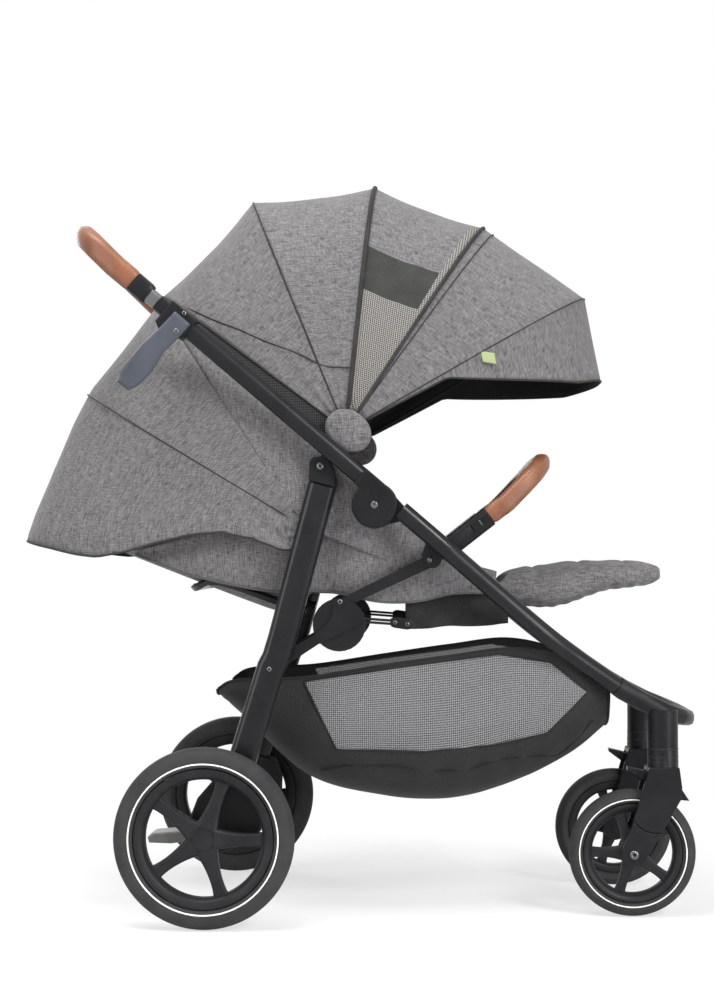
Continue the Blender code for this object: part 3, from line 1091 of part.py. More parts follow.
def build_all():
    """Make the materials and the joint empties, then each group of pieces."""
    tyre = finish("tyre_rubber", (0.085, 0.085, 0.088), 0.75)
    metal = finish("frame_metal", CHARCOAL, 0.38, 0.35)
    plastic = finish("frame_plastic", (0.050, 0.050, 0.056), 0.45)
    rim = finish("rim_plastic", (0.060, 0.060, 0.064), 0.50)
    polished = finish("polished_tube", (0.62, 0.62, 0.64), 0.20, 1.0)
    leather = finish("tan_leather", (0.42, 0.18, 0.085), 0.55)
    blue_grey = finish("blue_grey_plastic", (0.20, 0.22, 0.26), 0.40)
    pedal_grey = finish("pedal_grey", (0.32, 0.31, 0.29), 0.50)
    fabric = finish("grey_melange", (0.20, 0.195, 0.190), 0.90)
    mesh_fabric = finish("window_mesh", (0.26, 0.25, 0.25), 0.85)
    black_cloth = finish("black_cloth", (0.022, 0.022, 0.024), 0.85)

    fold_axis = axis_empty("fold_axis", FOLD_PIVOT[0], 0, FOLD_PIVOT[1])
    leg_axis = axis_empty("leg_axis", LEG_PIVOT[0], 0, LEG_PIVOT[1])
    handle_axis = axis_empty("handle_axis", *(frame_point(-UPPER_TUBE_TOP)[0], 0, frame_point(-UPPER_TUBE_TOP)[1]))
    front_link_axis = axis_empty("front_link_axis", LINK_PIVOT[0], 0, LINK_PIVOT[1])
    rear_link_axis = axis_empty("rear_link_axis", KNEE_PIVOT[0], 0, KNEE_PIVOT[1])
    bow_axes = [axis_empty(f"canopy_axis_{k}", HUB[0], 0, HUB[1]) for k in range(3)]
    support_axis = axis_empty("back_support_axis", SUPPORT_PIVOT[0], 0, SUPPORT_PIVOT[1])
    back_axis = axis_empty("recline_axis", BACK_PIVOT[0], 0, BACK_PIVOT[1])
    calf_axis = axis_empty("calf_axis", CALF_PIVOT[0], 0, CALF_PIVOT[1])

    build_rear_wheels(tyre, rim)
    build_front_units(tyre, rim, plastic)
    build_lower_frame(metal, plastic)
    build_upper_frame(metal, plastic, blue_grey, fold_axis)
    build_handle(polished, leather, pedal_grey, handle_axis)
    build_rear_legs(metal, plastic, leg_axis)
    build_brake(pedal_grey, (REAR_AXLE[0], 0, REAR_AXLE[1]))
    build_links(metal, plastic, front_link_axis, rear_link_axis)
    build_bumper(plastic, leather, (BUMPER_TOP[0], 0, BUMPER_TOP[1]))
    build_seat(fabric, metal, support_axis, back_axis, calf_axis)
    build_canopy(fabric, mesh_fabric, plastic, fold_axis, bow_axes)
    build_hood(fabric, support_axis)
    build_basket(black_cloth)


build_all()
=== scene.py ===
import math

import bmesh
import bpy
import numpy as np
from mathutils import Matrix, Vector


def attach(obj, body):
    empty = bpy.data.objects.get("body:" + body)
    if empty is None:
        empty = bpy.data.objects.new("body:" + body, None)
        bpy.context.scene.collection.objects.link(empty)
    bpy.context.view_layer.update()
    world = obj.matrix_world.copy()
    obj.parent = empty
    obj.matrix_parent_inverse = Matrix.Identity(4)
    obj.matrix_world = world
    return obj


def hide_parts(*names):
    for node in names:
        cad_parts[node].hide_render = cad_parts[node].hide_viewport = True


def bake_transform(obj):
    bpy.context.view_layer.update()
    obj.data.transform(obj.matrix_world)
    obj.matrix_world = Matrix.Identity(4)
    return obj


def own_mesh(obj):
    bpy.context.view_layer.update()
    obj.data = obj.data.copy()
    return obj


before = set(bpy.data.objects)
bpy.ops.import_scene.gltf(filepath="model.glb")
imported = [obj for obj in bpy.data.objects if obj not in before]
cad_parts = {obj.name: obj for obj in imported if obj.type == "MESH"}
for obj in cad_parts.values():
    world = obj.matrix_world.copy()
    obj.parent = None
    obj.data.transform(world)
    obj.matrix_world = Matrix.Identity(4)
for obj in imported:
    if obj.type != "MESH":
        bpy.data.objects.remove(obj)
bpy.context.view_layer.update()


# The camera stands where the photographer stood: 3.45 m off on the child's right side, a little over
# the height of the seat, with a long lens, looking across the pushchair.
def object_of(name, data):
    """A mesh, lamp or camera made an object in the scene."""
    obj = bpy.data.objects.new(name, data)
    bpy.context.scene.collection.objects.link(obj)
    return obj


view_from = bpy.data.cameras.new("camera")
view_from.lens = 76.5
view_from.sensor_width = 36.0
camera = object_of("camera", view_from)
camera.location = (0.0799, -3.45, 0.561)
camera.rotation_euler = (math.radians(91.375), 0.0, math.radians(1.51))
bpy.context.scene.camera = camera
bpy.context.scene.view_settings.view_transform = "Standard"

# The studio: a pale floor that keeps the shadow, a white surround seen by the lens and by shiny
# surfaces, and five broad soft lamps.
WHITE = (1.0, 1.0, 1.0, 1.0)
FLOOR_RADIUS, FLOOR_CORNERS = 14, 96


def feed(tree, node, *first, **named):
    """Fill a node's first inputs, then those named with a capital; lower case names are properties."""
    for key, value in [*enumerate(first), *named.items()]:
        if str(key).islower():
            setattr(node, key, value)
            continue
        place = node.inputs[key if isinstance(key, int) else key.replace("_", " ")]
        if isinstance(value, bpy.types.NodeSocket):
            tree.links.new(value, place)
        else:
            place.default_value = value
    return node


def wire(tree, kind, *first, **named):
    """Add a node with its inputs and properties filled."""
    return feed(tree, tree.nodes.new(kind), *first, **named)


def reckoned(tree, operation, one, other):
    """The result of a node that works on two numbers."""
    return wire(tree, "ShaderNodeMath", one, other, operation=operation).outputs[0]


def node_material(name):
    """A new material with its node tree and principled shader."""
    material = bpy.data.materials.new(name)
    material.use_nodes = True
    return material, material.node_tree, material.node_tree.nodes["Principled BSDF"]


def mesh_of(name, points, faces):
    """Points and faces made a smooth mesh object."""
    mesh = bpy.data.meshes.new(name)
    mesh.from_pydata(points, [], faces)
    mesh.shade_smooth()
    return object_of(name, mesh)


def pale_world():
    """White for the rays that look straight out, a softer grey for the light it sheds."""
    world = bpy.data.worlds.new("studio")
    world.use_nodes = True
    tree = world.node_tree
    rays = wire(tree, "ShaderNodeLightPath").outputs
    straight = reckoned(tree, "MAXIMUM", rays["Is Camera Ray"], rays["Is Transmission Ray"])
    either = reckoned(tree, "MAXIMUM", straight, rays["Is Glossy Ray"])
    shed = feed(tree, tree.nodes["Background"], (0.95, 0.97, 1.0, 1.0), 0.30)
    seen = wire(tree, "ShaderNodeBackground", WHITE, 1.0)
    mix = wire(tree, "ShaderNodeMixShader", either, shed.outputs[0], seen.outputs[0])
    feed(tree, tree.nodes["World Output"], Surface=mix.outputs[0])
    bpy.context.scene.world = world


def pale_floor():
    """A wide floor disc: mostly its own white to the lens, the rest lit, so the shadow stays soft."""
    turn = np.linspace(0, 2 * np.pi, FLOOR_CORNERS + 1)[:-1]
    level = np.full(FLOOR_CORNERS, -0.0005)
    points = np.stack([FLOOR_RADIUS * np.cos(turn), FLOOR_RADIUS * np.sin(turn), level], axis=1)
    floor = mesh_of("floor", points.tolist(), [list(range(FLOOR_CORNERS))])
    material, tree, shader = node_material("pale_floor")
    feed(tree, shader, Base_Color=(0.90, 0.90, 0.90, 1.0), Roughness=0.9, Specular_IOR_Level=0.0)
    rays = wire(tree, "ShaderNodeLightPath").outputs
    place = wire(tree, "ShaderNodeTexCoord").outputs["Object"]
    away = wire(tree, "ShaderNodeVectorMath", place, operation="LENGTH").outputs["Value"]
    fade = wire(tree, "ShaderNodeMapRange", interpolation_type="SMOOTHSTEP", Value=away,
                From_Min=0.35, From_Max=1.5, To_Min=0.62, To_Max=1.0)
    either = reckoned(tree, "MAXIMUM", rays["Is Camera Ray"], rays["Is Glossy Ray"])
    part = reckoned(tree, "MULTIPLY", either, fade.outputs["Result"])
    glow = wire(tree, "ShaderNodeEmission", WHITE, 1.0)
    mix = wire(tree, "ShaderNodeMixShader", part, shader.outputs[0], glow.outputs[0])
    feed(tree, tree.nodes["Material Output"], Surface=mix.outputs[0])
    floor.data.materials.append(material)


def soft_lamp(name, place, aim, size, power):
    """A square lamp of a given width that faces a point."""
    light = bpy.data.lights.new(name, "AREA")
    light.size = size
    light.energy = power
    lamp = object_of(name, light)
    lamp.location = place
    lamp.rotation_euler = (Vector(aim) - Vector(place)).to_track_quat("-Z", "Y").to_euler()


pale_world()
pale_floor()
soft_lamp("lamp_over", (-0.7, -0.7, 3.1), (0.0, 0.0, 0.4), 1.7, 92)
soft_lamp("lamp_near", (1.9, -2.7, 2.4), (0.0, 0.0, 0.5), 0.8, 84)
soft_lamp("lamp_right", (2.4, -2.3, 0.65), (0.0, 0.0, 0.45), 1.0, 40)
soft_lamp("lamp_left", (-2.5, -2.3, 1.4), (0.0, 0.0, 0.55), 1.6, 40)
soft_lamp("lamp_behind", (-1.6, 2.8, 1.8), (0.0, 0.0, 0.6), 1.4, 40)

# Hard finishes: a satin charcoal coat on the tubes, fine-grained black plastic, grey rubber and the
# polished telescope. Each varies slowly over the piece, with a fine grain in its surface.
def ramp_between(tree, source, low, high, start=0.3, stop=0.7):
    """Two colours with a smooth change from one to the other between two values of the source."""
    ramp = wire(tree, "ShaderNodeValToRGB", source)
    for end, place, colour in zip(ramp.color_ramp.elements, (start, stop), (low, high)):
        end.position = place
        end.color = (*colour, 1.0)
    return ramp.outputs["Color"]


def bumped(tree, height, strength, distance):
    """The surface's direction, tilted by a height."""
    bump = wire(tree, "ShaderNodeBump", Height=height, Strength=strength, Distance=distance)
    return bump.outputs["Normal"]


def hard_finish(name, low, high, roughness, grain, depth, metallic=0.0, coat=0.0):
    """Colour drifts between two tones over about 40 mm, roughness with it; the grain is a fine noise bump."""
    material, tree, shader = node_material(name)
    place = wire(tree, "ShaderNodeTexCoord").outputs["Object"]
    drift = wire(tree, "ShaderNodeTexNoise", place, Scale=24.0, Detail=3.0, Roughness=0.6).outputs["Fac"]
    fine = wire(tree, "ShaderNodeTexNoise", place, Scale=grain, Detail=2.0).outputs["Fac"]
    worn = wire(tree, "ShaderNodeMapRange", drift, To_Min=roughness - 0.05, To_Max=roughness + 0.07)
    feed(tree, shader, Base_Color=ramp_between(tree, drift, low, high), Roughness=worn.outputs["Result"],
         Normal=bumped(tree, fine, depth, 0.0004), Metallic=metallic,
         Specular_IOR_Level=0.5 if metallic else 0.15)
    if coat:
        feed(tree, shader, Coat_Weight=0.4 * coat, Coat_Roughness=0.25)
    return material


satin_tube = hard_finish("satin_tube", (0.006, 0.006, 0.007), (0.010, 0.010, 0.011), 0.27, 1400.0, 0.04,
                         coat=0.4)
black_plastic = hard_finish("black_plastic", (0.007, 0.007, 0.008), (0.012, 0.012, 0.0135), 0.36, 1100.0,
                            0.08)
rim_plastic = hard_finish("rim_plastic", (0.011, 0.011, 0.012), (0.018, 0.018, 0.0195), 0.42, 1000.0, 0.10)
rubber = hard_finish("rubber", (0.026, 0.026, 0.027), (0.040, 0.040, 0.041), 0.72, 700.0, 0.25)
polished_metal = hard_finish("polished_metal", (0.15, 0.15, 0.16), (0.23, 0.23, 0.24), 0.20, 1500.0, 0.02,
                             1.0)
blue_grey = hard_finish("blue_grey", (0.046, 0.051, 0.064), (0.066, 0.072, 0.088), 0.34, 1000.0, 0.06,
                        coat=0.2)
pedal_grey = hard_finish("pedal_grey", (0.115, 0.112, 0.106), (0.160, 0.156, 0.148), 0.5, 900.0, 0.10)
screw_steel = hard_finish("screw_steel", (0.09, 0.09, 0.095), (0.17, 0.17, 0.175), 0.26, 1500.0, 0.03, 0.9)

# The mouldings and legs of the frame keep their built shape. Each is copied, and most have their
# corners rounded over 0.4 to 2 mm, as a mould leaves them. They ride on the bodies of their nodes.
FORWARD_SHIFT = 0.01189
TUBE_X, TUBE_Z = 0.0230 + FORWARD_SHIFT, 0.6452
ALONG_X, ALONG_Z = 0.759725, 0.650244
BRACKET_TOP = -0.0142
INNER_TUBE_START = -0.4480
MERGE = 0.00002
SIDES = (("right", -1), ("left", 1))


def settle(obj, body, node=None):
    """Fix a piece to a body; for a span of two bodies its place is only baked in. The node it stands for is
    hidden.
    """
    if isinstance(body, str):
        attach(obj, body)
    else:
        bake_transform(obj)
    if node:
        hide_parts(node)
    return obj


def built(name, node, flatten):
    """A new object with a built node's mesh, its doubles merged and, where asked, its flat faces joined."""
    bm = bmesh.new()
    bm.from_mesh(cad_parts[node].data)
    bmesh.ops.remove_doubles(bm, verts=bm.verts, dist=MERGE)
    if flatten:
        bmesh.ops.dissolve_limit(bm, angle_limit=math.radians(1.2), verts=bm.verts, edges=bm.edges)
    mesh = bpy.data.meshes.new(name)
    bm.to_mesh(mesh)
    bm.free()
    return object_of(name, mesh)


def smooth_edges(obj, material, width, angle=32, segments=2):
    """Shade a piece smooth but for its sharp edges, and round those over a width."""
    obj.data.shade_smooth()
    obj.data.set_sharp_from_angle(angle=math.radians(angle))
    obj.data.materials.append(material)
    if width:
        rounding = obj.modifiers.new("rounding", "BEVEL")
        rounding.width = width
        rounding.segments = segments
        rounding.limit_method = "ANGLE"
        rounding.angle_limit = math.radians(angle)
        rounding.harden_normals = True


def hard_piece(name, node, body, material, width=0.0007, angle=32, segments=2):
    """The built node's mesh in a finish, with small rounded edges."""
    obj = built(name, node, True)
    smooth_edges(obj, material, width, angle, segments)
    return settle(obj, body, node)


for side, _ in SIDES:
    made = {}
    for name, node, body, material, *rounding in (
            ("tube_upper", "upper_tube", "upper_frame", satin_tube, 0.0, 40),
            ("hinge_upper", "hinge_shell", "upper_frame", black_plastic, 0.0010),
            ("housing", "handle_housing", "upper_frame", black_plastic, 0.0009),
            ("paddle", "stand_foot", "upper_frame", blue_grey, 0.0020, 25, 3),
            ("telescope", "handle_tube", "handle", polished_metal, 0.0004),
            ("leg", "rear_leg", "rear_legs", satin_tube, 0.0, 45),
            ("leg_top", "leg_cap", "rear_legs", black_plastic, 0.0012),
            ("side_bar", "link_front", "front_links", satin_tube, 0.0012),
            ("side_plate", "link_rear", "rear_links", black_plastic, 0.0012),
            ("bar_arm", "bumper_arm", "lower_frame", black_plastic, 0.0008),
            ("bar_button", "bumper_button", f"bumper_release_{side}", black_plastic),
            ("caster", "fork", f"caster_{side}", black_plastic, 0.0009),
            ("spring_arm", "suspension_arm", f"swing_{side}", black_plastic, 0.0009),
            ("lock_lever", "swivel_lock", f"swivel_lock_part_{side}", black_plastic)):
        made[name] = hard_piece(f"{name}_{side}", f"{node}_{side}", body, material, *rounding)
    # The upper tube is drawn further on: of its built shape only the brackets below it are kept.
    bracket = made["tube_upper"].data
    bm = bmesh.new()
    bm.from_mesh(bracket)
    for face in list(bm.faces):
        x, _, z = face.calc_center_median()
        if (x - TUBE_X) * ALONG_Z + (z - TUBE_Z) * ALONG_X > BRACKET_TOP:
            bm.faces.remove(face)
    bm.to_mesh(bracket)
    bm.free()
    # The telescope's upper part is a black collar.
    slider = made["telescope"].data
    slider.materials.append(black_plastic)
    for face in slider.polygons:
        along = (face.center.x - TUBE_X) * ALONG_X - (face.center.z - TUBE_Z) * ALONG_Z
        face.material_index = int(along < INNER_TUBE_START)
hard_piece("front_cross_bar", "front_bar", "lower_frame", black_plastic, 0.0008, 40)
hard_piece("axle_and_brakes", "rear_axle", "rear_legs", black_plastic, 0.0012)
hard_piece("foot_pedal", "brake_pedal", "brake", pedal_grey, 0.0012)
hard_piece("recline_tube", "back_support", "back_frame", satin_tube, 0.0004)
hard_piece("grip_button", "height_button", "height_release", pedal_grey, 0.0009)


# The wheels: air-filled tyres with a shallow tread and a thin white line round the outer wall, on
# black rims with five deep spokes and a domed hub cap.
def grid(x, y, z):
    """Points from three arrays stretched to one shape."""
    return np.stack(np.broadcast_arrays(x, y, z), axis=-1)


def surface(name, points, closed_u=False, closed_v=False, uv=None):
    """A grid of points made a quad mesh, joined round where it closes; uv is a grid of the same shape."""
    points = np.asarray(points, float)
    rows, columns = points.shape[:2]
    index = np.arange(rows * columns).reshape(rows, columns)
    down = np.concatenate([index, index[:1]]) if closed_u else index
    net = np.concatenate([down, down[:, :1]], axis=1) if closed_v else down
    quads = np.stack([net[:-1, :-1], net[1:, :-1], net[1:, 1:], net[:-1, 1:]], axis=-1).reshape(-1, 4)
    obj = mesh_of(name, points.reshape(-1, 3).tolist(), quads.tolist())
    if uv is not None:
        layer = obj.data.uv_layers.new(name="cloth")
        flat = np.asarray(uv, float).reshape(-1, 2)
        corner = np.empty(len(obj.data.loops), np.int32)
        obj.data.loops.foreach_get("vertex_index", corner)
        layer.data.foreach_set("uv", flat[corner].ravel().astype(np.float32))
    return obj


def fix_normals(obj):
    """Turn every face outward on a closed mesh, after merging its doubles."""
    bm = bmesh.new()
    bm.from_mesh(obj.data)
    bmesh.ops.remove_doubles(bm, verts=bm.verts, dist=0.000005)
    bmesh.ops.recalc_face_normals(bm, faces=bm.faces)
    bm.to_mesh(obj.data)
    bm.free()
    obj.data.shade_smooth()
    return obj


def rounded_run(corners, steps=5, size=0.35):
    """A closed outline through corners, each corner eased by a quadratic curve over a share of its edges."""
    corners = np.array(corners, float)
    before, after = np.roll(corners, 1, axis=0), np.roll(corners, -1, axis=0)
    t = np.linspace(0, 1, steps)[None, :, None]
    first = corners + (before - corners) * size
    last = corners + (after - corners) * size
    curve = (1 - t) ** 2 * first[:, None] + 2 * t * (1 - t) * corners[:, None] + t**2 * last[:, None]
    return curve.reshape(-1, 2)


def turned(name, profile, centre, side, steps, closed=False, shape=None):
    """A profile of (radius, distance outward) turned about an axis that lies across the pushchair."""
    turn = np.linspace(0, 2 * np.pi, steps, endpoint=False)[:, None]
    radius, out = np.array(profile).T
    radius = np.broadcast_to(radius, (steps, len(profile))).copy()
    if shape:
        radius = shape(turn, radius, out[None, :])
    points = grid(centre[0] + radius * np.cos(turn), centre[1] + side * out,
                  centre[2] + radius * np.sin(turn))
    return fix_normals(surface(name, points, True, closed))


def joined(name, objects, material):
    """Several meshes made one object by adding their vertices and faces together."""
    bm = bmesh.new()
    for obj in objects:
        old = obj.data
        bm.from_mesh(old)
        bpy.data.objects.remove(obj, do_unlink=True)
        bpy.data.meshes.remove(old)
    mesh = bpy.data.meshes.new(name)
    bm.to_mesh(mesh)
    bm.free()
    mesh.shade_smooth()
    mesh.materials.append(material)
    return object_of(name, mesh)


def squared(angle, power):
    """A squarer sine and cosine: each keeps its sign and is raised to a power below one."""
    both = np.cos(angle), np.sin(angle)
    return [np.sign(value) * np.abs(value) ** power for value in both]


def spoke_star(name, centre, side, reach, root, width, depth, first):
    """Five spokes as one lofted bar each: width and depth narrow outward, and a rib lies along the face."""
    made = []
    along = np.linspace(0, 1, 14)[:, None]
    wide, tall = squared(np.linspace(0, 2 * np.pi, 24, endpoint=False)[None, :], 0.5)
    r = root + (reach - root) * along
    half = width * (1.0 + 1.1 * (1 - along) ** 3 + 0.5 * along**6)
    thick = depth * (1.0 - 0.35 * along)
    across = half * wide
    out = thick * tall
    out = out - 0.22 * thick * (np.abs(across) < 0.45 * half) * (out > 0)
    y = centre[1] + side * (out + 0.0015 + 0.0065 * (1 - along) ** 2)
    for k in range(5):
        lean = math.radians(first + 72 * k)
        x = centre[0] + r * math.cos(lean) - across * math.sin(lean)
        z = centre[2] + r * math.sin(lean) + across * math.cos(lean)
        made.append(fix_normals(surface(f"{name}_{k}", grid(x, y, z), False, True)))
    return made


def dome(name, centre, side, radius, near, far, hollow=0.0):
    """A turned cap: a flat end, a rounded shoulder and a wall, with a shallow dish in its face."""
    profile = [(0.0, far - hollow), (0.45 * radius, far - hollow), (0.62 * radius, far),
               (0.86 * radius, far), (0.97 * radius, far - 0.08 * radius), (radius, far - 0.22 * radius),
               (radius, near), (0.0, near)]
    return turned(name, profile, centre, side, 72)


tyre_line = hard_finish("tyre_line", (0.72, 0.73, 0.70), (0.86, 0.86, 0.84), 0.6, 800.0, 0.08)


def build_wheel(kind, side, sign, centre, outer, rim, half, lip, spokes):
    """One wheel: the tyre turned from a rounded wall profile with tread notches, its line, and the rim."""
    rear = kind == "rear"
    upper = [(rim + 0.0006, 0.74 * half), (rim + 0.010, 0.98 * half), (0.5 * (rim + outer), 1.0 * half),
             (outer - 0.007, 0.86 * half), (outer - 0.0006, 0.45 * half)]
    wall = [(r, -out) for r, out in upper] + [(outer, 0.0)] + upper[::-1]
    profile = rounded_run(wall, 5, 0.42)

    def tread(turn, radius, out):
        """Grooves of under a millimetre: two round the tread and slanting ones across its shoulders."""
        near = np.abs(out) / half
        round_it = np.exp(-(((near - 0.22) / 0.05) ** 2)) * 0.0007
        slant = np.cos(turn * (64 if rear else 52) + 5.0 * near * np.sign(out))
        cross = np.clip(slant - 0.55, 0, 1) / 0.45 * 0.0009 * np.clip((near - 0.35) / 0.1, 0, 1)
        cross = cross * np.clip((0.98 - near) / 0.1, 0, 1)
        return radius - (round_it + cross) * (profile[:, 0] >= outer - 0.012)

    tyre = turned(f"{kind}_tyre_rubber_{side}", profile, centre, sign, 320, True, tread)
    tyre.data.materials.append(rubber)
    settle(tyre, f"{kind}_wheel_{side}", f"{kind}_tyre_{side}")
    line_r, line_w, deep = (rim + 0.0085, 0.0011, 0.0155) if rear else (rim + 0.0075, 0.0009, 0.0125)
    where = 0.965 * half
    flat = [(line_r - line_w, where - 0.0010), (line_r + line_w, where - 0.0002),
            (line_r + line_w, where + 0.0012), (line_r - line_w, where + 0.0006)]
    line = turned(f"{kind}_white_line_{side}", flat, centre, sign, 160, True)
    line.data.materials.append(tyre_line)
    settle(line, f"{kind}_wheel_{side}")
    ring = [(rim, -lip), (rim + 0.0014, -lip - 0.0008), (rim - 0.002, -lip - 0.0012),
            (rim - deep + 0.004, -lip), (rim - deep, -0.7 * lip), (rim - deep, 0.5 * lip),
            (rim - deep + 0.005, 0.9 * lip),
            (rim - 0.003, lip + 0.0012), (rim + 0.0012, lip + 0.0010), (rim, lip)]
    hub, cap, width, depth, first = spokes
    spokes = spoke_star(f"{kind}_spoke_{side}", centre, sign, rim - deep + 0.005, 0.6 * cap, width, depth,
                        first)
    parts = [turned(f"{kind}_ring_{side}", rounded_run(ring, 4, 0.3), centre, sign, 160, True), *spokes,
             dome(f"{kind}_hub_{side}", centre, sign, 0.72 * cap, -hub, 0.004),
             dome(f"{kind}_cap_{side}", centre, sign, cap, 0.0, 0.0158, 0.0012)]
    if not rear:
        parts.append(dome(f"{kind}_cap_in_{side}", centre, -sign, cap, 0.0, hub - 0.001))
    wheel = joined(f"{kind}_wheel_{side}", parts, rim_plastic)
    settle(wheel, f"{kind}_wheel_{side}", f"{kind}_rim_{side}")


for side, sign in SIDES:
    build_wheel("rear", side, sign, (-0.2424 + FORWARD_SHIFT, sign * 0.2925, 0.135),
                0.135, 0.1027, 0.022, 0.0165, (0.0262, 0.027, 0.0085, 0.0105, -1.0))
    build_wheel("front", side, sign, (0.4050 + FORWARD_SHIFT, sign * 0.155, 0.0975),
                0.0975, 0.0745, 0.018, 0.0130, (0.0162, 0.0165, 0.0068, 0.0085, 35.5))

# Grey melange cloth: light and dark threads lie both ways in slubs a few centimetres long. The sheets
# carry their own flat coordinates in metres, and the padded pieces use their place in the pushchair.
GREY_DARK, GREY_LIGHT = (0.033, 0.031, 0.032), (0.196, 0.188, 0.192)
STRETCHES = {"UV": ((80.0, 950.0, 80.0), (950.0, 80.0, 950.0)),
             "Object": ((80.0, 80.0, 950.0), (800.0, 800.0, 80.0))}
WEAVE_SCALE = (1250.0, 1250.0, 1250.0)


def melange(name, source):
    """Noise drawn out along the weft and along the warp, added and halved, with fine cells as bump."""
    material, tree, shader = node_material(name)
    place = wire(tree, "ShaderNodeTexCoord").outputs[source]
    threads = []
    for k, stretch in enumerate(STRETCHES[source]):
        lay = wire(tree, "ShaderNodeMapping", place, Scale=stretch, Location=(3.1 * k, 7.7 * k, 1.3 * k))
        noise = wire(tree, "ShaderNodeTexNoise", lay.outputs[0], Scale=1.0, Detail=2.5, Roughness=0.65)
        threads.append(noise.outputs["Fac"])
    half = reckoned(tree, "MULTIPLY", reckoned(tree, "ADD", *threads), 0.5)
    fine = wire(tree, "ShaderNodeMapping", place, Scale=WEAVE_SCALE)
    weave = wire(tree, "ShaderNodeTexVoronoi", fine.outputs[0], Scale=1.0)
    height = reckoned(tree, "ADD", half, weave.outputs["Distance"])
    feed(tree, shader, Base_Color=ramp_between(tree, half, GREY_DARK, GREY_LIGHT, 0.36, 0.63),
         Normal=bumped(tree, height, 0.28, 0.0006), Roughness=0.92, Specular_IOR_Level=0.2,
         Sheen_Weight=0.12, Sheen_Roughness=0.5)
    return material


def plain_cloth(name, low, high, scale=900.0):
    """A dark plain weave: two tones in fine cells, a slow drift over them and a fine bump."""
    material, tree, shader = node_material(name)
    place = wire(tree, "ShaderNodeTexCoord").outputs["Object"]
    cells = wire(tree, "ShaderNodeTexVoronoi", place, Scale=scale).outputs["Distance"]
    drift = wire(tree, "ShaderNodeTexNoise", place, Scale=30.0, Detail=3.0).outputs["Fac"]
    mixed = reckoned(tree, "MULTIPLY", cells, drift)
    feed(tree, shader, Base_Color=ramp_between(tree, mixed, low, high, 0.05, 0.5),
         Normal=bumped(tree, cells, 0.25, 0.0004), Roughness=0.88, Specular_IOR_Level=0.12, Sheen_Weight=0.02)
    return material


HOLE = 0.36


def net_finish(name, thread, behind, pitch, open_to=None):
    """Threads round one hole per cell of a nearly even grid; open_to is how solid a hole is."""
    material, tree, shader = node_material(name)
    place = wire(tree, "ShaderNodeTexCoord").outputs["UV"]
    lay = wire(tree, "ShaderNodeMapping", place, Scale=(1.0 / pitch, 0.8 / pitch, 1.0))
    cells = wire(tree, "ShaderNodeTexVoronoi", voronoi_dimensions="2D", Vector=lay.outputs[0], Scale=1.0,
                 Randomness=0.10).outputs["Distance"]
    feed(tree, shader, Base_Color=ramp_between(tree, cells, behind, thread, HOLE - 0.06, HOLE + 0.06),
         Normal=bumped(tree, cells, 0.4, 0.0006), Roughness=0.6, Specular_IOR_Level=0.15)
    if open_to is not None:
        shown = wire(tree, "ShaderNodeMapRange", cells, From_Min=HOLE - 0.10, From_Max=HOLE + 0.02,
                     To_Min=open_to)
        feed(tree, shader, Alpha=shown.outputs["Result"])
    return material


def two_zone_finish(name):
    """Black cloth with a net let into it, where the surface's own depth value is above nothing."""
    material = net_finish(name, (0.22, 0.22, 0.225), (0.022, 0.022, 0.023), 0.0030, 0.5)
    tree = material.node_tree
    shader = tree.nodes["Principled BSDF"]
    net_colour, net_alpha = (shader.inputs[key].links[0].from_socket for key in ("Base Color", "Alpha"))
    depth = wire(tree, "ShaderNodeAttribute", attribute_name="net_depth").outputs["Fac"]
    inside = reckoned(tree, "GREATER_THAN", depth, 0.0)
    place = wire(tree, "ShaderNodeTexCoord").outputs["Object"]
    cells = wire(tree, "ShaderNodeTexVoronoi", place, Scale=900.0).outputs["Distance"]
    cloth = ramp_between(tree, cells, (0.010, 0.0098, 0.0102), (0.026, 0.0255, 0.0262), 0.1, 0.7)
    mixed = wire(tree, "ShaderNodeMix", inside, data_type="RGBA")
    tree.links.new(cloth, mixed.inputs[6])
    tree.links.new(net_colour, mixed.inputs[7])
    solid = reckoned(tree, "SUBTRACT", 1.0, inside)
    feed(tree, shader, Base_Color=mixed.outputs[2], Alpha=reckoned(tree, "MAXIMUM", net_alpha, solid))
    return material


grey_sheet = melange("grey_sheet", "UV")
grey_pad = melange("grey_pad", "Object")
black_lining = plain_cloth("black_lining", (0.010, 0.010, 0.011), (0.022, 0.022, 0.024))
dark_piping = plain_cloth("dark_piping", (0.020, 0.019, 0.019), (0.045, 0.043, 0.042))
basket_cloth = plain_cloth("basket_cloth", (0.012, 0.0115, 0.012), (0.030, 0.029, 0.030))
window_net = net_finish("window_net", (0.24, 0.23, 0.215), (0.016, 0.015, 0.014), 0.0030)
basket_weave = two_zone_finish("basket_weave")
strip_net = net_finish("strip_net", (0.045, 0.045, 0.046), (0.006, 0.006, 0.006), 0.0032)
band_cloth = plain_cloth("band_cloth", (0.026, 0.027, 0.025), (0.050, 0.051, 0.047))

# The canopy: four cloth panels over bows that turn on one pivot, sewn to one another along the bows
# with dark piping. A side window of net lies under a black band in the third panel.
HUB = (-0.03396 + FORWARD_SHIFT, 0.74397)
CANOPY_HALF = 0.2245
REAR_EDGE, BACK_BOW, TOP_BOW, WINDOW_BOW, FRONT_BOW, VISOR_TIP = 143.1, 112.3, 84.0, 57.1, 30.2, 12.3
SPOKE_ANGLE = np.array([VISOR_TIP, FRONT_BOW, WINDOW_BOW, TOP_BOW, BACK_BOW, 125.0, REAR_EDGE])
SPOKE_REACH = np.array([0.413, 0.437, 0.398, 0.402, 0.4075, 0.377, 0.375])
ARCH_START = 0.03
CLOTH, THIN_CLOTH = 0.0013, 0.0009
PANEL_COLUMNS = 23
SMALL_STEP = 0.004


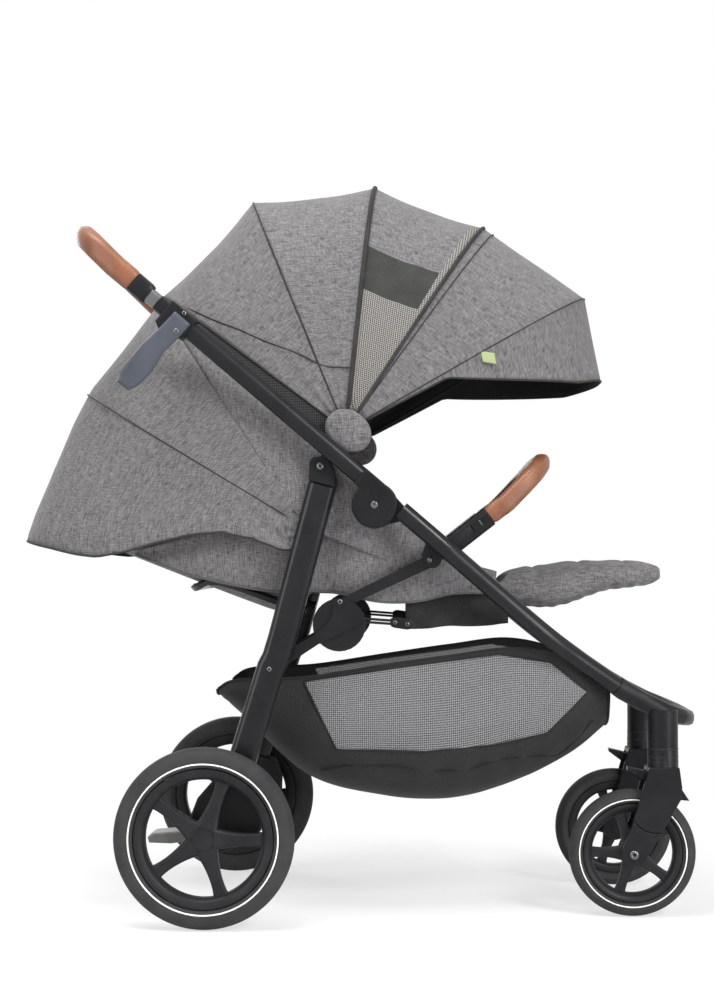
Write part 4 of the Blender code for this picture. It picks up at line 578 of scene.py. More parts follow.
def chord_reach(angle, spokes=SPOKE_ANGLE, reaches=SPOKE_REACH):
    """Reach of a straight line between two spokes: ra rb sin(span) / (ra sin(near) + rb sin(rest))."""
    angle = np.clip(angle, spokes[0], spokes[-1])
    k = np.clip(np.searchsorted(spokes, angle, side="right") - 1, 0, len(spokes) - 2)
    a, b, ra, rb = spokes[k], spokes[k + 1], reaches[k], reaches[k + 1]
    span, near = np.radians(b - a), np.radians(angle - a)
    return ra * rb * np.sin(span) / (ra * np.sin(near) + rb * np.sin(span - near))


def rise(share):
    """How far out a squared arch stands along its run, as a part of its reach: sin^(2/3)."""
    return np.clip(np.sin(np.pi * share), 0, 1) ** (2 / 3)


def arch_points(hub, angle, reach, half_width, share):
    """Squared arch: lateral = |cos|^(2/3), distance out = start + (reach - start) sin^(2/3)."""
    lateral = squared(np.pi * share, 2 / 3)[0] * half_width
    out = ARCH_START + (reach - ARCH_START) * rise(share)
    a = np.radians(angle)
    return grid(hub[0] + out * np.cos(a), lateral, hub[1] + out * np.sin(a))


def half_at(out, half, reach):
    """The arch's half width at a distance out: half (1 - ((out - start) / reach)^3)^(1/3)."""
    return half * (1 - (np.clip(out - ARCH_START, 0, 1) / reach) ** 3) ** (1 / 3)


def share_at(out, reach):
    """The share of the arch at which it stands a given distance out from its hub."""
    return math.asin(((out - ARCH_START) / (reach - ARCH_START)) ** 1.5) / math.pi


def even_shares(count, extra=()):
    """Shares spaced so the steps along a squared arch are nearly even, with a few exact ones added."""
    t = np.linspace(0, 1, count)
    eased = t - 0.055 * np.sin(4 * np.pi * t) - 0.018 * np.sin(2 * np.pi * t) * np.abs(np.cos(np.pi * t))
    return np.unique(np.concatenate([np.clip(eased, 0, 1), np.array(extra, float)]))


def arch_line(hub, angle, reach, half_width):
    """One squared arch as a path from the right side to the left."""
    return arch_points(hub, angle, reach, half_width, even_shares(160)[:, None])[:, 0]


def thickened(obj, thickness, outside=None, inside=None):
    """Cloth grown inward to its thickness, in one finish outside and, where given, another inside."""
    cloth = obj.modifiers.new("cloth", "SOLIDIFY")
    cloth.thickness = thickness
    cloth.offset = -1.0
    cloth.material_offset = int(inside is not None)
    for material in (outside, inside):
        if material:
            obj.data.materials.append(material)


def vectors(items, name):
    """One vector of each item of a mesh, a row each."""
    values = np.empty(len(items) * 3, np.float32)
    items.foreach_get(name, values)
    return values.reshape(-1, 3)


def face_outward(obj, centre):
    """Turn a sheet's faces so that most of them look away from a point."""
    faces = obj.data.polygons
    if ((vectors(faces, "center") - np.array(centre)) * vectors(faces, "normal")).sum() < 0:
        obj.data.flip_normals()
    return obj


def side_sheet(name, points, centre):
    """A sheet whose flat coordinates are its place in the side view, its face turned from a point."""
    return face_outward(surface(name, points, uv=points[..., [0, 2]]), centre)


def declare(sheet, body, node=None):
    """Settle a sheet; the areas of its faces are read, but not used."""
    settle(sheet, body, node)
    faces = np.empty(len(sheet.data.polygons), np.float32)
    sheet.data.polygons.foreach_get("area", faces)
    return sheet


def unit(directions):
    """Directions brought to length one."""
    return directions / np.linalg.norm(directions, axis=-1, keepdims=True)


def piping(name, path, radius, body, material=dark_piping, sides=8):
    """A thin round cord along a path: circles square to the path's direction, capped by closing in."""
    path = np.asarray(path, float)
    step = unit(np.gradient(path, axis=0))
    side = unit(np.cross(step, np.array([0.31, 0.17, 0.93])))
    up = np.cross(step, side)
    turn = np.linspace(0, 2 * np.pi, sides, endpoint=False)[None, :, None]
    size = np.full((len(path), 1, 1), radius)
    size[0] = size[-1] = radius * 0.02
    points = path[:, None] + size * (side[:, None] * np.cos(turn) + up[:, None] * np.sin(turn))
    obj = fix_normals(surface(name, points, False, True))
    obj.data.materials.append(material)
    return settle(obj, body)


def run_along(path):
    """The distance from a path's start to each of its points."""
    return np.concatenate([[0], np.cumsum(np.linalg.norm(np.diff(path, axis=0), axis=1))])


def resampled(path, step):
    """The same path with even steps."""
    run = run_along(path)
    at = np.linspace(0, run[-1], int(run[-1] / step) + 1)
    return np.stack([np.interp(at, run, path[:, k]) for k in range(3)], axis=1)


def spline(points, count):
    """Catmull-Rom curve through points, sampled evenly in its parameter."""
    points = np.asarray(points, float)
    ends = np.concatenate([[2 * points[0] - points[1]], points, [2 * points[-1] - points[-2]]])
    t = np.linspace(0, len(points) - 1 - 1e-9, count)
    k = t.astype(int)
    f = (t - k)[:, None]
    a, b, c, d = ends[k], ends[k + 1], ends[k + 2], ends[k + 3]
    return 0.5 * (2 * b + (c - a) * f + (2 * a - 5 * b + 4 * c - d) * f**2 + (3 * b - a - 3 * c + d) * f**3)


def smooth_path(points, step):
    """Catmull-Rom curve through points, then even steps along it."""
    return resampled(spline(points, 60 * len(points)), step)


def fan_sheet(name, hub, angles, reach_of, half_width, shares, ripple, origin_uv=(0.0, 0.0)):
    """Cloth over a fan of arches, pulled in between its bows and rippled near the hub."""
    share = shares[:, None]
    count = angles.shape[-1]
    angle = np.broadcast_to(angles, (len(shares), count))
    points = arch_points(hub, angle, reach_of(angle), half_width, share)
    t = np.linspace(0, 1, count)[None, :]
    swell = np.sin(np.pi * share) ** 0.5
    between = np.sin(np.pi * t)
    inward = ripple[0] * between * swell
    wave = np.sin(2 * np.pi * (2.0 * t + 1.7 * share))
    inward = inward + ripple[1] * wave * between * np.cos(np.pi * share) ** 2
    inward = inward + ripple[2] * np.sin(9.0 * t + 23.0 * share) * between * swell
    centre = np.array([hub[0], 0.0, hub[1]])
    away = points - centre
    away[..., 1] *= 0.75
    points = points - unit(away) * inward[..., None]
    lift = np.radians(angle - angle[:, :1]) * -0.4 * swell + origin_uv[1]
    run = run_along(points[:, count // 2])[:, None] + origin_uv[0]
    flat = np.stack(np.broadcast_arrays(run, lift), axis=-1)
    return face_outward(surface(name, points, uv=flat), centre), points


def window_zones(sheet, shares, edges, columns):
    """Net below the first edge and in the last columns, the band between the edges, grey cloth above."""
    middle = (shares[:-1] + shares[1:]) / 2
    middle = np.minimum(middle, 1 - middle)
    row = np.select([middle < edges[0], middle < edges[1]], [2, 1], 0)
    which = np.repeat(row, columns).reshape(-1, columns)
    which[:, 20:] = 2
    for material in (grey_sheet, band_cloth, window_net):
        sheet.data.materials.append(material)
    sheet.data.polygons.foreach_set("material_index", which.ravel().astype(np.int32))


def spoke_point(angle, reach=0.30):
    """A point on a spoke in the middle of the canopy."""
    a = math.radians(angle)
    return (HUB[0] + reach * math.cos(a), 0.0, HUB[1] + reach * math.sin(a))


def canopy_panel(name, node, angles, body, ripple, edges=()):
    """One panel sewn along two bows; edges bound its band."""
    shares = even_shares(150, [*edges, *(1 - e for e in edges)])
    sheet, points = fan_sheet(name, HUB, angles, chord_reach, CANOPY_HALF, shares, ripple)
    if edges:
        window_zones(sheet, shares, edges, PANEL_COLUMNS - 1)
        thickened(sheet, THIN_CLOTH)
    else:
        thickened(sheet, CLOTH, grey_sheet, black_lining)
    declare(sheet, body, node)
    return points, shares, angles


def on_panel(panel, spots, sign):
    """Points on a panel from pairs of angle and distance out, found in its grid by share and angle."""
    points, shares, angles = panel
    path = []
    for angle, out in spots:
        share = share_at(out, float(chord_reach(angle)))
        share = share if sign < 0 else 1 - share
        column = np.interp(angle, np.sort(angles), np.argsort(angles).astype(float))
        row = np.interp(share, shares, np.arange(len(shares)))
        r, c = min(int(row), len(shares) - 2), min(int(column), len(angles) - 2)
        f, g = row - r, column - c
        both = points[r, c:c + 2] * (1 - f) + points[r + 1, c:c + 2] * f
        path.append(both[0] * (1 - g) + both[1] * g)
    return np.array(path)


def visor_angles(shares):
    """Rows from the third bow to the front bow, then on to a level lower edge, as far as the last spoke."""
    first = np.linspace(WINDOW_BOW, FRONT_BOW, PANEL_COLUMNS)[None, :]
    out = ARCH_START + (SPOKE_REACH[0] - ARCH_START) * rise(shares)
    level = np.degrees(np.arcsin(np.clip((0.822 - HUB[1]) / out, 0, 1)))
    last = np.clip(level, VISOR_TIP, 27.5)[:, None]
    t = np.linspace(0, 1, 12)[None, 1:]
    return np.concatenate([np.repeat(first, len(shares), axis=0), FRONT_BOW + (last - FRONT_BOW) * t], axis=1)


TOP_SPAN = ("upper_frame", "canopy_middle_part", spoke_point(BACK_BOW), spoke_point(TOP_BOW))
WINDOW_SPAN = ("canopy_middle_part", "canopy_window_part", spoke_point(TOP_BOW), spoke_point(WINDOW_BOW))
FRONT_SPAN = ("canopy_window_part", "canopy_front_part", spoke_point(WINDOW_BOW), spoke_point(FRONT_BOW))
window_reach = chord_reach(0.5 * (TOP_BOW + WINDOW_BOW))
band_edges = (share_at(0.2135, window_reach), share_at(0.280, window_reach))
back_panel = canopy_panel("canopy_back_panel", "canopy_rear", np.linspace(REAR_EDGE, BACK_BOW, PANEL_COLUMNS),
                          "upper_frame", (0.004, 0.0015, 0.0008))
top_panel = canopy_panel("canopy_top_panel", "canopy_middle", np.linspace(BACK_BOW, TOP_BOW, PANEL_COLUMNS),
                         TOP_SPAN, (0.006, 0.0015, 0.0008))
canopy_panel("canopy_net", "canopy_window", np.linspace(TOP_BOW, WINDOW_BOW, PANEL_COLUMNS), WINDOW_SPAN,
             (0.006, 0.001, 0.0008), band_edges)
front_panel = canopy_panel("canopy_front_panel", "canopy_front", visor_angles(even_shares(150)), FRONT_SPAN,
                           (0.0, 0.0012, 0.0008))

for name, angle, body, thick, proud, wider in (
        ("0", BACK_BOW, "upper_frame", 0.0011, 0.0004, 0.0004),
        ("1", TOP_BOW, "canopy_middle_part", 0.0036, 0.0004, 0.0004),
        ("2", WINDOW_BOW, "canopy_window_part", 0.0030, 0.0004, 0.0004),
        ("3", FRONT_BOW, "canopy_front_part", 0.0010, 0.0004, 0.0004),
        ("second", 54.4, FRONT_SPAN, 0.0009, 0.0008, 0.0006)):
    seam = arch_line(HUB, angle, chord_reach(angle) + proud, CANOPY_HALF + wider)
    piping(f"canopy_seam_{name}", seam, thick, body)
near_hub = [(112.3, 0.110), (104.0, 0.1015), (96.0, 0.0975), (88.0, 0.0965), (84.6, 0.0965)]
far_hub = [(143.0, 0.340), (141.4, 0.300), (139.6, 0.264), (136.2, 0.225), (132.0, 0.187), (122.5, 0.142),
           (112.3, 0.110)]
rear = math.radians(REAR_EDGE)
PATCH_REACH = np.array([0.0, 0.25, 0.5, 0.8, 0.92, 0.975, 1.0, 0.99, 0.9, 0.5, 0.0])
PATCH_LIFT = np.array([0.0130, 0.0130, 0.0129, 0.0124, 0.0112, 0.0090, 0.0060, 0.0010,
                       -0.0006, -0.0006, -0.0006])
for side, sign in SIDES:
    for name, panel, spots, body in (("top", top_panel, near_hub, TOP_SPAN),
                                     ("back", back_panel, far_hub, "upper_frame")):
        hem = smooth_path(on_panel(panel, spots, sign) * (1, 1.002, 1), SMALL_STEP)
        piping(f"canopy_hem_{name}_{side}", hem, 0.0011, body)
    # Under the rear panel a strip of dark net closes the gap to the tube, and a round patch covers the pivot.
    out = np.linspace(0.004, 0.362, 60)[:, None]
    down = np.linspace(0.0, 1.0, 9)[None, :]
    gap = 0.0382 - 0.0638 * out - 0.009
    lateral = half_at(out, CANOPY_HALF, 0.3455) - 0.0012
    strip_points = grid(HUB[0] + out * np.cos(rear) - 0.6502 * gap * down, sign * lateral,
                        HUB[1] + out * np.sin(rear) - 0.7597 * gap * down)
    strip = side_sheet(f"canopy_strip_{side}", strip_points, (0.0, 0.0, 0.8))
    thickened(strip, THIN_CLOTH, strip_net)
    declare(strip, "upper_frame")
    turn = np.linspace(0, 2 * np.pi, 72, endpoint=False)[:, None]
    r = 0.0335 * (1 + 0.10 * np.cos(2 * (turn - rear))) * PATCH_REACH
    patch = grid(HUB[0] + 0.004 + r * np.cos(turn), sign * (0.2335 + PATCH_LIFT),
                 HUB[1] - 0.001 + r * np.sin(turn))
    cover = fix_normals(surface(f"pivot_patch_{side}", patch, True, uv=patch[..., [0, 2]]))
    cover.data.materials.append(grey_pad)
    settle(cover, "upper_frame")
piping("visor_binding", front_panel[0][:, -1], 0.0016, "canopy_front_part")
rear_edge = arch_line(HUB, REAR_EDGE, SPOKE_REACH[-1] + 0.0002, CANOPY_HALF)
piping("canopy_rear_binding", rear_edge, 0.0013, "upper_frame")
for name, body in (("rear", "upper_frame"), ("middle", "canopy_middle_part"),
                   ("window", "canopy_window_part"), ("front", "canopy_front_part")):
    hard_piece(f"canopy_{name}_rod", f"canopy_{name}_bow", body, black_plastic, 0.0)

# A small folded tag of green tape, bare on both faces, is sewn in at the canopy's last seam on the
# right.
tag_finish = plain_cloth("tag_finish", (0.24, 0.28, 0.14), (0.33, 0.37, 0.20), scale=1300.0)
u, t = np.linspace(-1, 1, 9)[:, None], np.linspace(-1, 1, 7)[None, :]
tag_lift = 0.2150 + 0.0030 * (t + 1) / 2 + 0.0006 * np.sin(2.5 * u)
tag_points = grid(HUB[0] + 0.2173 + 0.0105 * u + 0.0015 * t, -tag_lift,
                  HUB[1] + 0.1115 - 0.0085 * t - 0.0018 * u)
tag = side_sheet("side_tag", tag_points, (0.1, 0.0, 0.8))
thickened(tag, 0.0010, tag_finish)
settle(tag, FRONT_SPAN)

# The back hood: one more cloth panel that closes the seat behind the reclined backrest. It is sewn
# from two pieces along a seam that runs to its pivot, and hangs from the backrest's tube.
HOOD_HUB = (-0.096 + FORWARD_SHIFT, 0.597)
HOOD_TOP = 123.6
HOOD_ANGLE = np.array([HOOD_TOP, 147.4, 156.0, 167.6, 176.6, 182.0, 185.5])
HOOD_REACH = np.array([0.438, 0.4200, 0.4190, 0.4270, 0.4440, 0.4570, 0.4560])
HOOD_LOW_OUT = [0.030, 0.042, 0.060, 0.081, 0.1235, 0.169, 0.235, 0.278, 0.325, 0.355, 0.400, 0.457]
HOOD_LOW_ANGLE = [252.0, 235.0, 206.0, 191.6, 183.2, 183.6, 186.2, 187.7, 188.0, 186.8, 184.6, 182.4]


def hood_reach(angle):
    """The reach of the hood's outline: straight between its spokes."""
    return chord_reach(angle, HOOD_ANGLE, HOOD_REACH)


hood_shares = even_shares(150)
hood_out = ARCH_START + (HOOD_LOW_OUT[-1] - ARCH_START) * rise(hood_shares)
hood_low = np.interp(hood_out, HOOD_LOW_OUT, HOOD_LOW_ANGLE)[:, None]
hood_angles = hood_low + (HOOD_TOP - hood_low) * np.linspace(0, 1, 47)
hood_sheet, hood_points = fan_sheet("hood_cloth", HOOD_HUB, hood_angles, hood_reach, 0.226, hood_shares,
                                    (0.003, 0.002, 0.0012), (0.4, 0.3))
thickened(hood_sheet, CLOTH, grey_sheet, black_lining)
declare(hood_sheet, "back_frame", "back_hood")
hood_parts = [hood_sheet,
              piping("hood_seam_0", arch_line(HOOD_HUB, 149.0, hood_reach(149.0) + 0.0003, 0.2263), 0.0009,
                     "back_frame"),
              piping("hood_seam_1", hood_points[:, 0], 0.0015, "back_frame")]
for side, sign in SIDES:
    theta = np.concatenate([np.linspace(252.0, 123.605, 30), np.linspace(HOOD_TOP, -22.0, 70)])[:, None]
    theta = np.radians(theta)
    front = np.minimum(theta, np.radians(HOOD_TOP))
    reach = np.where(theta > front, 0.036, 0.1138 / np.cos(front - math.radians(49.44)) - 0.002)
    share = np.linspace(0, 1, 30)[None, :]
    limit = 0.436 - 0.196 * np.clip((np.radians(45) - front) / 0.7, 0, 1)
    out = 0.004 + (np.minimum(reach, limit) - 0.004) * share
    drawn_in = 0.040 * np.clip((np.radians(40) - theta) / 1.05, 0, 1) * share
    lateral = half_at(out, 0.2254, 0.408) - drawn_in + 0.0016 * np.sin(11 * theta + 8 * share) * share
    wing_points = grid(HOOD_HUB[0] + out * np.cos(theta), sign * lateral, HOOD_HUB[1] + out * np.sin(theta))
    wing = side_sheet(f"hood_wing_{side}", wing_points, (0.0, 0.0, 0.62))
    thickened(wing, CLOTH, grey_sheet, black_lining)
    hood_parts.append(declare(wing, "back_frame"))
for piece in hood_parts:
    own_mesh(piece)

# The seat's cloth sides: one wall of grey cloth on each side, sewn to the hood behind, hung from the
# tube above and gathered under the seat.
FOLD_SPAN = ("lower_frame", "upper_frame", (0.060, 0.0, 0.565), (-0.060, 0.0, 0.665))
side_top = spline([(-0.330, 0.575), (-0.240, 0.605), (-0.150, 0.640), (-0.090, 0.660), (-0.040, 0.655),
                   (0.020, 0.635), (0.085, 0.585), (0.150, 0.545), (0.196, 0.530)], 120)
side_low = spline([(-0.365, 0.5560), (-0.325, 0.5420), (-0.278, 0.5250), (-0.200, 0.5070), (-0.145, 0.4990),
                   (-0.088, 0.5000), (-0.047, 0.4960), (0.010, 0.4840), (0.050, 0.4820), (0.086, 0.4860),
                   (0.130, 0.4955), (0.192, 0.4970)], 120)
for side, sign in SIDES:
    t = np.linspace(0, 1, 40)[None, :]
    u = np.linspace(0, 1, 120)[:, None]
    x = side_low[:, :1] + (side_top[:, :1] - side_low[:, :1]) * t + FORWARD_SHIFT
    z = side_low[:, 1:] + (side_top[:, 1:] - side_low[:, 1:]) * t
    puff = np.sin(np.pi * t) ** 0.7 * 0.010
    wave = 0.0022 * np.sin(34 * u + 5 * t) * (1 - t) ** 1.2 + 0.0014 * np.sin(19 * u - 9 * t)
    inward = 0.034 * np.clip((0.30 - u) / 0.30, 0, 1) ** 1.5
    bulge = 0.012 * t * np.exp(-(((u - 0.42) / 0.20) ** 2))
    y = sign * (0.1880 + puff * (0.6 + 0.4 * u) + wave + 0.006 * t - inward + bulge)
    wall = side_sheet(f"seat_side_{side}", grid(x, y, z), (0.0, 0.0, 0.58))
    thickened(wall, CLOTH, grey_sheet, black_lining)
    declare(wall, FOLD_SPAN)
    low_edge = np.stack([side_low[:, 0] + FORWARD_SHIFT, y[:, 0], side_low[:, 1]], axis=1)
    piping(f"seat_side_hem_{side}", low_edge, 0.0018, FOLD_SPAN, grey_sheet)


# The seat, the backrest and the calf rest: foam pads in grey cloth. Each starts as its built shape,
# a little smaller, and swells against its cover; the channels are sewn after.
BACK_SLOPE = math.radians(21)
SWELL_FRAMES = 14
CHANNEL_DEPTH, ROLL_DEPTH = -0.004, -0.0045


def baked(obj):
    """Apply an object's modifiers by taking its evaluated mesh."""
    graph = bpy.context.evaluated_depsgraph_get()
    graph.update()
    made = bpy.data.meshes.new_from_object(obj.evaluated_get(graph))
    old = obj.data
    obj.modifiers.clear()
    obj.data = made
    bpy.data.meshes.remove(old)


def swollen(obj, start, pressure, cap):
    """Blow the pad up as cloth; each point travels from its start by at most the cap."""
    cloth = obj.modifiers.new("swell", "CLOTH")
    cloth.settings.quality = 5
    cloth.settings.mass = 0.25
    cloth.settings.tension_stiffness = 22
    cloth.settings.compression_stiffness = 12
    cloth.settings.bending_stiffness = 0.8
    cloth.settings.use_pressure = True
    cloth.settings.uniform_pressure_force = pressure
    cloth.settings.effector_weights.gravity = 0.0
    cloth.collision_settings.use_collision = False
    scene = bpy.context.scene
    for step in range(1, SWELL_FRAMES + 1):
        scene.frame_set(step)
    baked(obj)
    scene.frame_set(1)
    move = vectors(obj.data.vertices, "co") - start
    far = np.linalg.norm(move, axis=1, keepdims=True)
    move *= np.minimum(1.0, cap / np.maximum(far, 1e-9))
    obj.data.vertices.foreach_set("co", (start + move).ravel())


def pad(name, node, body, rule, pressure, voxel=0.0055, shrink=0.0015, cap=0.006):
    """The node's mesh remeshed, shrunk, swollen, then moved along its normals by a rule."""
    obj = built(name, node, False)
    blocks = obj.modifiers.new("blocks", "REMESH")
    blocks.mode = "VOXEL"
    blocks.voxel_size = voxel
    baked(obj)
    start = vectors(obj.data.vertices, "co") - shrink * vectors(obj.data.vertices, "normal")
    obj.data.vertices.foreach_set("co", start.ravel())
    swollen(obj, start, pressure, cap)
    obj.data.shade_smooth()
    place, normal = vectors(obj.data.vertices, "co"), vectors(obj.data.vertices, "normal")
    sunk = place + normal * rule(place[:, 0] - FORWARD_SHIFT, place[:, 1], normal[:, 2])[:, None]
    obj.data.vertices.foreach_set("co", sunk.ravel().astype(np.float32))
    obj.data.materials.clear()
    obj.data.materials.append(grey_pad)
    soft = obj.modifiers.new("soft", "SUBSURF")
    soft.levels = 1
    soft.render_levels = 1
    settle(obj, body, node)


def channels(at, centres, width):
    """Bell curves exp(-((at - centre) / width)^2), added."""
    return sum(np.exp(-(((at - centre) / width) ** 2)) for centre in centres)


def seat_rule(x, y, up):
    """Two channels across the seat, sunk by a few millimetres."""
    return CHANNEL_DEPTH * np.clip(up, 0, 1) * channels(x, (0.005, 0.100), 0.006) * (np.abs(y) < 0.15)


def back_rule(x, y, up):
    """Channels across the backrest at even steps along it."""
    along = -(x + 0.112) / math.cos(BACK_SLOPE)
    return CHANNEL_DEPTH * np.clip(up, 0, 1) * channels(along, (0.09, 0.18, 0.27), 0.006)


def calf_rule(x, y, up):
    """Three soft rolls across the calf rest, and fine gathers on its underside."""
    rolls = ROLL_DEPTH * np.clip(np.abs(up), 0, 1) * channels(x, (0.262, 0.335, 0.405), 0.0055) * (up > 0)
    return rolls + 0.0008 * np.sin(310 * x) * (up < -0.3)


pad("seat_pad", "seat_base", "lower_frame", seat_rule, 3.0)
pad("back_pad", "backrest", "back", back_rule, 3.5)
pad("calf_pad", "calf_rest", "calf_panel", calf_rule, 3.0, 0.0045, 0.0012, 0.005)

# The basket: a tub of black cloth with wide windows of silver-grey net in its sides, hemmed at the
# rim, which hangs between the lower tubes.
BASKET = np.array([(-0.236, 0.347, 0.335, 0.150), (-0.203, 0.362, 0.303, 0.171),
                   (-0.100, 0.367, 0.206, 0.183), (0.020, 0.385, 0.172, 0.183),
                   (0.130, 0.401, 0.168, 0.183), (0.230, 0.412, 0.196, 0.183),
                   (0.316, 0.392, 0.240, 0.1748), (0.372, 0.352, 0.285, 0.138)])


def tub(along, share):
    """Lateral = |cos|^0.55 of the half width, height = rim - (rim - low) sin^0.7, with slack folds."""
    station = spline(BASKET, len(along))
    x, rim, low, half = (station[:, k:k + 1] for k in range(4))
    turn = np.pi * share[None, :]
    lateral = squared(turn, 0.55)[0] * half
    deep = np.clip(np.sin(turn), 0, 1) ** 0.7
    z = rim - (rim - low) * deep
    fold = 0.0035 * np.sin(70 * along[:, None] + 3 * np.sin(9 * along[:, None]))
    fold = fold * np.exp(-(((deep - 0.80) / 0.14) ** 2))
    sag = -0.0015 * np.sin(23 * along[:, None] + 6 * deep) * np.sin(np.pi * deep)
    lateral = lateral + np.sign(lateral) * (fold + sag)
    return grid(x + FORWARD_SHIFT, lateral, z + 0.3 * fold), station


basket_share = 0.5 - 0.5 * np.cos(np.pi * np.linspace(0, 1, 97))
basket_points, basket_station = tub(np.linspace(0, 1, 110), basket_share)
run_u, run_v = run_along(basket_points[:, 4]), run_along(basket_points[60])
basket_flat = np.stack(np.broadcast_arrays(run_u[:, None], run_v[None, :]), axis=-1)
basket = surface("basket_tub", basket_points, uv=basket_flat)
NET_OUTLINE = np.array([(-0.100, 0.361), (-0.050, 0.255), (0.0855, 0.252), (0.190, 0.262), (0.2738, 0.280),
                        (0.337, 0.3446), (0.2796, 0.3900), (0.200, 0.4030), (0.050, 0.3830)])
LOW_SEAM = np.array([(-0.0766, 0.2196), (-0.030, 0.2280), (0.0119, 0.2297), (0.075, 0.2225), (0.1443, 0.2211),
                     (0.2032, 0.2371), (0.260, 0.2420), (0.3002, 0.2471), (0.3490, 0.3000)])


def inside_by(outline, x, z):
    """How far inside a closed outline a point lies, in metres, negative outside."""
    after = np.roll(outline, -1, axis=0)
    far = np.full(x.shape, 9.0)
    crossings = np.zeros(x.shape, int)
    for (ax, az), (bx, bz) in zip(outline, after):
        share = ((x - ax) * (bx - ax) + (z - az) * (bz - az)) / ((bx - ax) ** 2 + (bz - az) ** 2)
        share = np.clip(share, 0, 1)
        far = np.minimum(far, np.hypot(x - ax - share * (bx - ax), z - az - share * (bz - az)))
        if az != bz:
            crossings += ((az > z) != (bz > z)) & (x < ax + (z - az) * (bx - ax) / (bz - az))
    return np.where(crossings % 2 == 1, far, -far)


def basket_spot(x, z, sign, proud=0.0):
    """The point of the tub's side at a given length and height."""
    rim, low, half = (np.interp(x, basket_station[:, 0], basket_station[:, k]) for k in (1, 2, 3))
    sunk = np.clip((rim - z) / (rim - low), 0, 0.97) ** (1 / 0.7)
    return np.stack([x + FORWARD_SHIFT, sign * ((1 - sunk**2) ** 0.275 * half + proud), z + 0 * x], axis=-1)


near_net = inside_by(NET_OUTLINE, basket_points[..., 0] - FORWARD_SHIFT, basket_points[..., 2])
near_net = np.where(np.abs(basket_points[..., 1]) > 0.10, near_net, -0.02)
face_outward(basket, (0.05, 0.0, 0.34))
mark = basket.data.attributes.new("net_depth", "FLOAT", "POINT")
mark.data.foreach_set("value", near_net.ravel().astype(np.float32))
thickened(basket, THIN_CLOTH, basket_weave)
declare(basket, "lower_frame", "basket")
net_ring = np.concatenate([NET_OUTLINE, NET_OUTLINE[:1]])
border = resampled(net_ring[:, [0, 0, 1]] * (1, 0, 1), SMALL_STEP)
low_seam = smooth_path(LOW_SEAM[:, [0, 0, 1]] * (1, 0, 1), SMALL_STEP)
for side, sign in SIDES:
    for name, spots, thick in (("net_border", border, 0.0013), ("low_seam", low_seam, 0.0012)):
        path = basket_spot(spots[:, 0], spots[:, 2], sign, 0.0012)
        piping(f"basket_{name}_{side}", path, thick, "lower_frame", basket_cloth)
    u, t = np.linspace(0, 1, 50)[:, None], np.linspace(0, 1, 14)[None, :]
    flap_x = 0.056 + FORWARD_SHIFT + 0.158 * u + 0 * t
    flap_y = sign * (0.1790 + 0.0035 * np.sin(21 * u + 2.0 * t) * t + 0.004 * t)
    flap_z = 0.4960 - (0.0545 - 0.0075 * u) * t - 0.0012 * np.sin(11 * u) * t
    flap = side_sheet(f"seat_flap_{side}", grid(flap_x, flap_y, flap_z), (0.10, 0.0, 0.47))
    thickened(flap, CLOTH, basket_cloth)
    declare(flap, "lower_frame")
for k, line in enumerate((basket_points[:, 0], basket_points[:, -1], basket_points[0], basket_points[-1])):
    piping(f"basket_hem_{k}", line, 0.0020, "lower_frame", basket_cloth, sides=10)


# The push bar and the bumper bar: foam over tube in tan leather, closed with a seam of red-brown
# thread along the side that faces the seat.
def leather_finish():
    """Tan with a slow drift to red-brown, a pebbled grain from small cells and a fine crease noise."""
    material, tree, shader = node_material("tan_leather")
    place = wire(tree, "ShaderNodeTexCoord").outputs["Object"]
    drift = wire(tree, "ShaderNodeTexNoise", place, Scale=16.0, Detail=5.0, Roughness=0.62).outputs["Fac"]
    cells = wire(tree, "ShaderNodeTexVoronoi", place, Scale=620.0).outputs["Distance"]
    crease = wire(tree, "ShaderNodeTexNoise", place, Scale=210.0, Detail=4.0, Roughness=0.7).outputs["Fac"]
    feed(tree, shader, Base_Color=ramp_between(tree, drift, (0.125, 0.043, 0.019), (0.235, 0.090, 0.042)),
         Normal=bumped(tree, reckoned(tree, "ADD", cells, crease), 0.12, 0.0004), Roughness=0.46,
         Specular_IOR_Level=0.42)
    return material


tan_leather = leather_finish()
red_thread = plain_cloth("red_thread", (0.10, 0.022, 0.016), (0.17, 0.04, 0.03), scale=1500.0)


def swept(name, path, width, depth, power, material, sides=40):
    """A superellipse section square to the path: width across the pushchair, depth in the side view."""
    path = np.asarray(path, float)
    step = unit(np.gradient(path, axis=0))
    up = unit(np.cross(step, np.array([0.0, 0.0, 1.0])))
    lift = np.cross(up, step)
    wide, tall = squared(np.linspace(0, 2 * np.pi, sides, endpoint=False)[None, :, None], power)
    width, depth = (np.broadcast_to(size, len(path))[:, None, None] / 2 for size in (width, depth))
    points = path[:, None] + up[:, None] * (wide * width) + lift[:, None] * (tall * depth)
    obj = fix_normals(surface(name, points, False, True))
    obj.data.materials.append(material)
    return obj, up


def along_frame(along, across=0.0, side=0.0):
    """A point of the pushchair's side, from the fold pivot down along the tubes and square to them."""
    return (0.010 + FORWARD_SHIFT + along * ALONG_X + (across + 0.020) * ALONG_Z, side,
            0.630 - along * ALONG_Z + (across + 0.020) * ALONG_X)


def both_halves(half):
    """A path from the child's left to the right, from its left half that ends in the middle."""
    half = np.asarray(half, float)
    return np.concatenate([half, (half * (1, -1, 1))[-2::-1]])


STITCH, STITCH_GAP, THREAD_RADIUS = 0.0042, 0.0026, 0.0007


